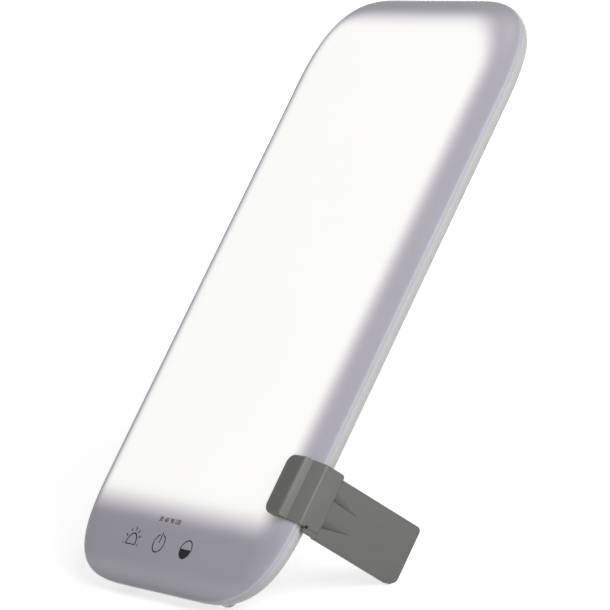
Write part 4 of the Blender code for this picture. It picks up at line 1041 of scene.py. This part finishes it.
clipPaint = {
    "onShadedPad": (0.00004, 0.00022),        # how far from the pad's flat its painted shade ends
    "padShadeClouds": (0.04, 90.0),          # how much its tone varies, and how finely
    "onLitRiser": (-0.0009, -0.0005),      # where, before the band, the riser's painted highlight starts
    "riserHighlightDepths": (-0.0001, 0.0003),
    "creaseHighlight": 0.0006,                   # how far the painted highlight reaches from the crease
    "creaseHighlightCore": 0.2,                  # the share of that, squared, that is palest
    "creaseHighlightShare": 0.75,                # and how pale it is there
}


# the clip's plastic, with painted shade on the flat of its pad and painted highlights on the riser and
# along its crease
def clipPlastic():
    material = plastic("clipGreyGreen", tones["clipGrey"], 0.50, 2600.0, 0.35, mottle=0.04)
    tree = material.node_tree
    base = tree.nodes["Principled BSDF"].inputs["Base Color"]
    x, depth, _ = panelCoordinates(tree)
    # painted shade on the flat of the pad
    start, end = (clip["padDepth"] + edge for edge in clipPaint["onShadedPad"])
    onShadedPad = fade(tree, depth, start, end, 1.0, 0.0)
    padShade = clouded(tree, tones["padShadeGrey"], *clipPaint["padShadeClouds"])
    color = mixed(tree, onShadedPad, base.links[0].from_socket, padShade)

    # a painted highlight on the riser
    start, end = (clip["bandX"] + edge for edge in clipPaint["onLitRiser"])
    above = fade(tree, depth, *clipPaint["riserHighlightDepths"], 1.0, 0.0)
    onLitRiser = mathNode(tree, "MULTIPLY", fade(tree, x, start, end), above)
    color = mixed(tree, onLitRiser, color, tones["riserHighlightGrey"])

    # a painted highlight along the crease between the band and the side wall
    offSide = mathNode(tree, "SUBTRACT", x, clip["sideX"])
    offCrease = mathNode(tree, "SUBTRACT", depth, clip["creaseDepth"])
    squares = [mathNode(tree, "POWER", distance, 2.0) for distance in (offSide, offCrease)]
    reach, limit = mathNode(tree, "ADD", *squares), clipPaint["creaseHighlight"] ** 2
    creaseHighlight = fade(tree, reach, limit * clipPaint["creaseHighlightCore"], limit, clipPaint["creaseHighlightShare"], 0.0)
    tree.links.new(mixed(tree, creaseHighlight, color, tones["creaseHighlightGrey"]), base)
    return material


# milky rubber that lets some light through
def footRubber(clear=0.75):
    material = plastic("footRubber", tones["footGrey"], 0.45, 1800.0, 0.3)
    material.node_tree.nodes["Principled BSDF"].inputs["Transmission Weight"].default_value = clear
    return material


# name, colour, roughness, and the grain's scale and strength
materials = {
    "opal": opalGlow(),
    "housing": plastic("housingWhite", tones["housingWhite"], 0.36, 700.0, 0.03, mottle=0.015, gloss=0.25),
    "clip": clipPlastic(),
    "leg": plastic("legGreyGreen", tones["legGrey"], 0.55, 2600.0, 0.35, mottle=0.04),
    "ink": plastic("printInk", tones["ink"], 0.6, 3000.0, 0.1, gloss=0.1),
    "dimInk": plastic("timerInk", tones["dimInk"], 0.6, 3000.0, 0.1, gloss=0.1),
    "foot": footRubber(),
    "steel": plastic("zincSteel", (0.55, 0.55, 0.56), 0.34, 1500.0, 0.1, metallic=1.0),
    "aluminium": plastic("rolledAluminium", (0.60, 0.61, 0.63), 0.38, 600.0, 0.08, metallic=1.0),
    "copper": plastic("enamelledCopper", (0.62, 0.28, 0.13), 0.35, 2500.0, 0.5, metallic=1.0),
    "frame": plastic("frameWhite", (0.62, 0.62, 0.61), 0.5, 900.0, 0.1),
    "film": plastic("frostedFilm", (0.80, 0.80, 0.80), 0.6, 4000.0, 0.2),
    "mirrorFilm": plastic("reflectorFilm", (0.85, 0.85, 0.85), 0.2, 900.0, 0.05),
    "acrylic": plastic("guideAcrylic", (0.80, 0.84, 0.86), 0.1, 500.0, 0.02, coat=0.3),
    "board": plastic(
        "greenBoard", (0.020, 0.120, 0.050), 0.4, 1200.0, 0.2, mottle=0.15, mottleScale=500.0, coat=0.3
    ),
    "strip": plastic("stripWhite", (0.78, 0.78, 0.74), 0.45, 900.0, 0.1),
    "phosphor": plastic("ledPhosphor", (0.80, 0.62, 0.12), 0.45, 1500.0, 0.2),
    "foam": plastic(
        "conductiveFoam", (0.045, 0.045, 0.050), 0.9, 2500.0, 0.8, mottle=0.2, mottleScale=900.0
    ),
    "black": plastic("blackPlastic", (0.018, 0.018, 0.019), 0.42, 1800.0, 0.25),
    "sleeve": plastic("leadSleeve", (0.36, 0.025, 0.020), 0.45, 1200.0, 0.1),
    "flatCable": plastic("flatCableGrey", (0.32, 0.32, 0.33), 0.5, 1500.0, 0.15),
    "rubber": plastic("softRubber", (0.06, 0.06, 0.06), 0.8, 2200.0, 0.4),
}

# the starts of the node names that take each finish
nodeFinishes = {
    "steel": (
        "cover_screw", "control_board_screw", "driver_board_screw",
        "dc_socket_pin", "hinge_pin", "hinge_washer",
    ),
    "film": ("diffuser_sheet",),
    "acrylic": ("light_guide",),
    "mirrorFilm": ("reflector_sheet",),
    "aluminium": ("heat_spreader", "input_capacitor", "output_capacitor"),
    "frame": ("guide_rail",),
    "strip": ("led_strip",),
    "sleeve": ("led_lead",),
    "board": ("control_board", "driver_board"),
    "foam": ("touch_pad",),
    "black": ("timer_light_block", "touch_chip", "dc_socket", "driver_coil_core", "driver_chip"),
    "phosphor": ("timer_led_bar",),
    "flatCable": ("board_cable",),
    "copper": ("driver_coil_winding",),
    "foot": ("foot_",),
    "clip": ("clip_body",),
    "rubber": ("clip_liner",),
    "leg": ("leg_plate",),
    "opal": ("front_cover",),
    "housing": ("back_cover",),
}


# each CAD node takes the finish whose start matches the most of its name
def dressNodes():
    starts = [(len(start), start, key) for key, group in nodeFinishes.items() for start in group]
    for name, node in frame["nodes"].items():
        _, _, key = max(row for row in starts if name.startswith(row[1]))
        node.data.materials.clear()
        node.data.materials.append(materials[key])


# Studio

view = {
    "azimuth": 58.37,
    "elevation": 10.41,
    "roll": 9.71,
    "distance": 1.89247,
    "shift": (0.00419, -0.00918),       # how far the aim is off the panel's centre, across and up
    "lens": 249.6,
    "sensor": 36.0,
    "nearest": 0.05,
}


def buildCamera():
    azimuth, elevation, roll = (math.radians(view[key]) for key in ("azimuth", "elevation", "roll"))
    right = Vector((math.cos(azimuth), math.sin(azimuth), 0))
    flat = math.cos(elevation)
    back = Vector((math.sin(azimuth) * flat, -math.cos(azimuth) * flat, math.sin(elevation)))
    up = back.cross(right)
    turnedRight = right * math.cos(roll) - up * math.sin(roll)
    turnedUp = right * math.sin(roll) + up * math.cos(roll)
    across, over = view["shift"]
    place = panelCentre + right * across + up * over + back * view["distance"]
    turn = Matrix((turnedRight, turnedUp, back)).transposed().to_4x4()
    data = bpy.data.cameras.new("camera")
    data.lens = view["lens"]
    data.sensor_width = view["sensor"]
    data.clip_start = view["nearest"]
    camera = bpy.data.objects.new("camera", data)
    camera.matrix_world = Matrix.Translation(place) @ turn
    bpy.context.scene.collection.objects.link(camera)
    bpy.context.scene.camera = camera


studio = {
    "floorSize": 8.0,
    "floorRise": -0.0004,
    "floorTone": (0.80, 0.80, 0.80),
    "floorRoughness": 0.95,
    "nearGlow": 0.62,           # what is added where the floor is looked at, near the lamp and far from it
    "farGlow": 1.0,
    "reach": (0.25, 1.3),
    "surround": 0.25,
    "aim": (0, 0, 0.11),        # where the lamps point
    "lamps": {
        "sideSoft": {"place": (1.19, -0.16, 0.73), "size": 0.9, "power": 13.0},
        "frontSoft": {"place": (-0.3, -1.3, 0.9), "size": 1.0, "power": 0.6},
        "backSoft": {"place": (-1.0, 1.1, 0.25), "size": 1.0, "power": 8.0},
    },
}


# 1 where the camera, a reflection or clear plastic looks at the background, else 0
def lookedAt(tree):
    rays = tree.nodes.new("ShaderNodeLightPath")
    kinds = ("Is Camera Ray", "Is Glossy Ray", "Is Transmission Ray")
    return mathNode(tree, "MAXIMUM", *(rays.outputs[kind] for kind in kinds))


# a pale floor that looks white and still takes the lamp's shadow
def buildFloor():
    clearSelection()
    bpy.ops.mesh.primitive_plane_add(size=studio["floorSize"], location=(0, 0, studio["floorRise"]))
    floor = namePiece("floor")
    applyAll(floor)
    material, tree, shader = newMaterial("paleFloor")
    shader.inputs["Base Color"].default_value = (*studio["floorTone"], 1)
    shader.inputs["Roughness"].default_value = studio["floorRoughness"]
    shader.inputs["Specular IOR Level"].default_value = 0.0
    shader.inputs["Emission Color"].default_value = (1, 1, 1, 1)
    place = tree.nodes.new("ShaderNodeTexCoord")
    distance = lengthOf(tree, place.outputs["Object"])
    glowing = fade(tree, distance, *studio["reach"], studio["nearGlow"], studio["farGlow"])
    tree.links.new(mathNode(tree, "MULTIPLY", lookedAt(tree), glowing), shader.inputs["Emission Strength"])
    floor.data.materials.append(material)


def buildLamps():
    for name, lamp in studio["lamps"].items():
        data = bpy.data.lights.new(name, "AREA")
        data.shape = "DISK"
        data.size = lamp["size"]
        data.energy = lamp["power"]
        item = bpy.data.objects.new(name, data)
        item.location = lamp["place"]
        item.rotation_euler = (Vector(studio["aim"]) - item.location).to_track_quat("-Z", "Y").to_euler()
        bpy.context.scene.collection.objects.link(item)


# a soft grey surround that looks white
def buildWorld():
    world = bpy.data.worlds.new("surround")
    world.use_nodes = True
    tree = world.node_tree
    background = tree.nodes["Background"]
    background.inputs["Color"].default_value = (1, 1, 1, 1)
    strength = tree.nodes.new("ShaderNodeMapRange")
    strength.inputs["To Min"].default_value = studio["surround"]
    strength.inputs["To Max"].default_value = 1.0
    tree.links.new(lookedAt(tree), strength.inputs["Value"])
    tree.links.new(strength.outputs["Result"], background.inputs["Strength"])
    bpy.context.scene.world = world


dressNodes()
print("finishes on the CAD nodes:", len(frame["nodes"]))
buildFrontCover()
print("front cover done")
buildBackCover()
print("back cover done")
buildScrews()
buildFeet()
print("screws and feet done")
buildClip()
buildLeg()
buildHingePin()
print("clip and leg done")
buildSunrise()
buildPower()
buildBrightness()
buildTimer()
print("marks done")
buildCamera()
buildFloor()
buildLamps()
buildWorld()
bpy.context.scene.view_settings.view_transform = "Standard"
print("studio done")

clearSelection()
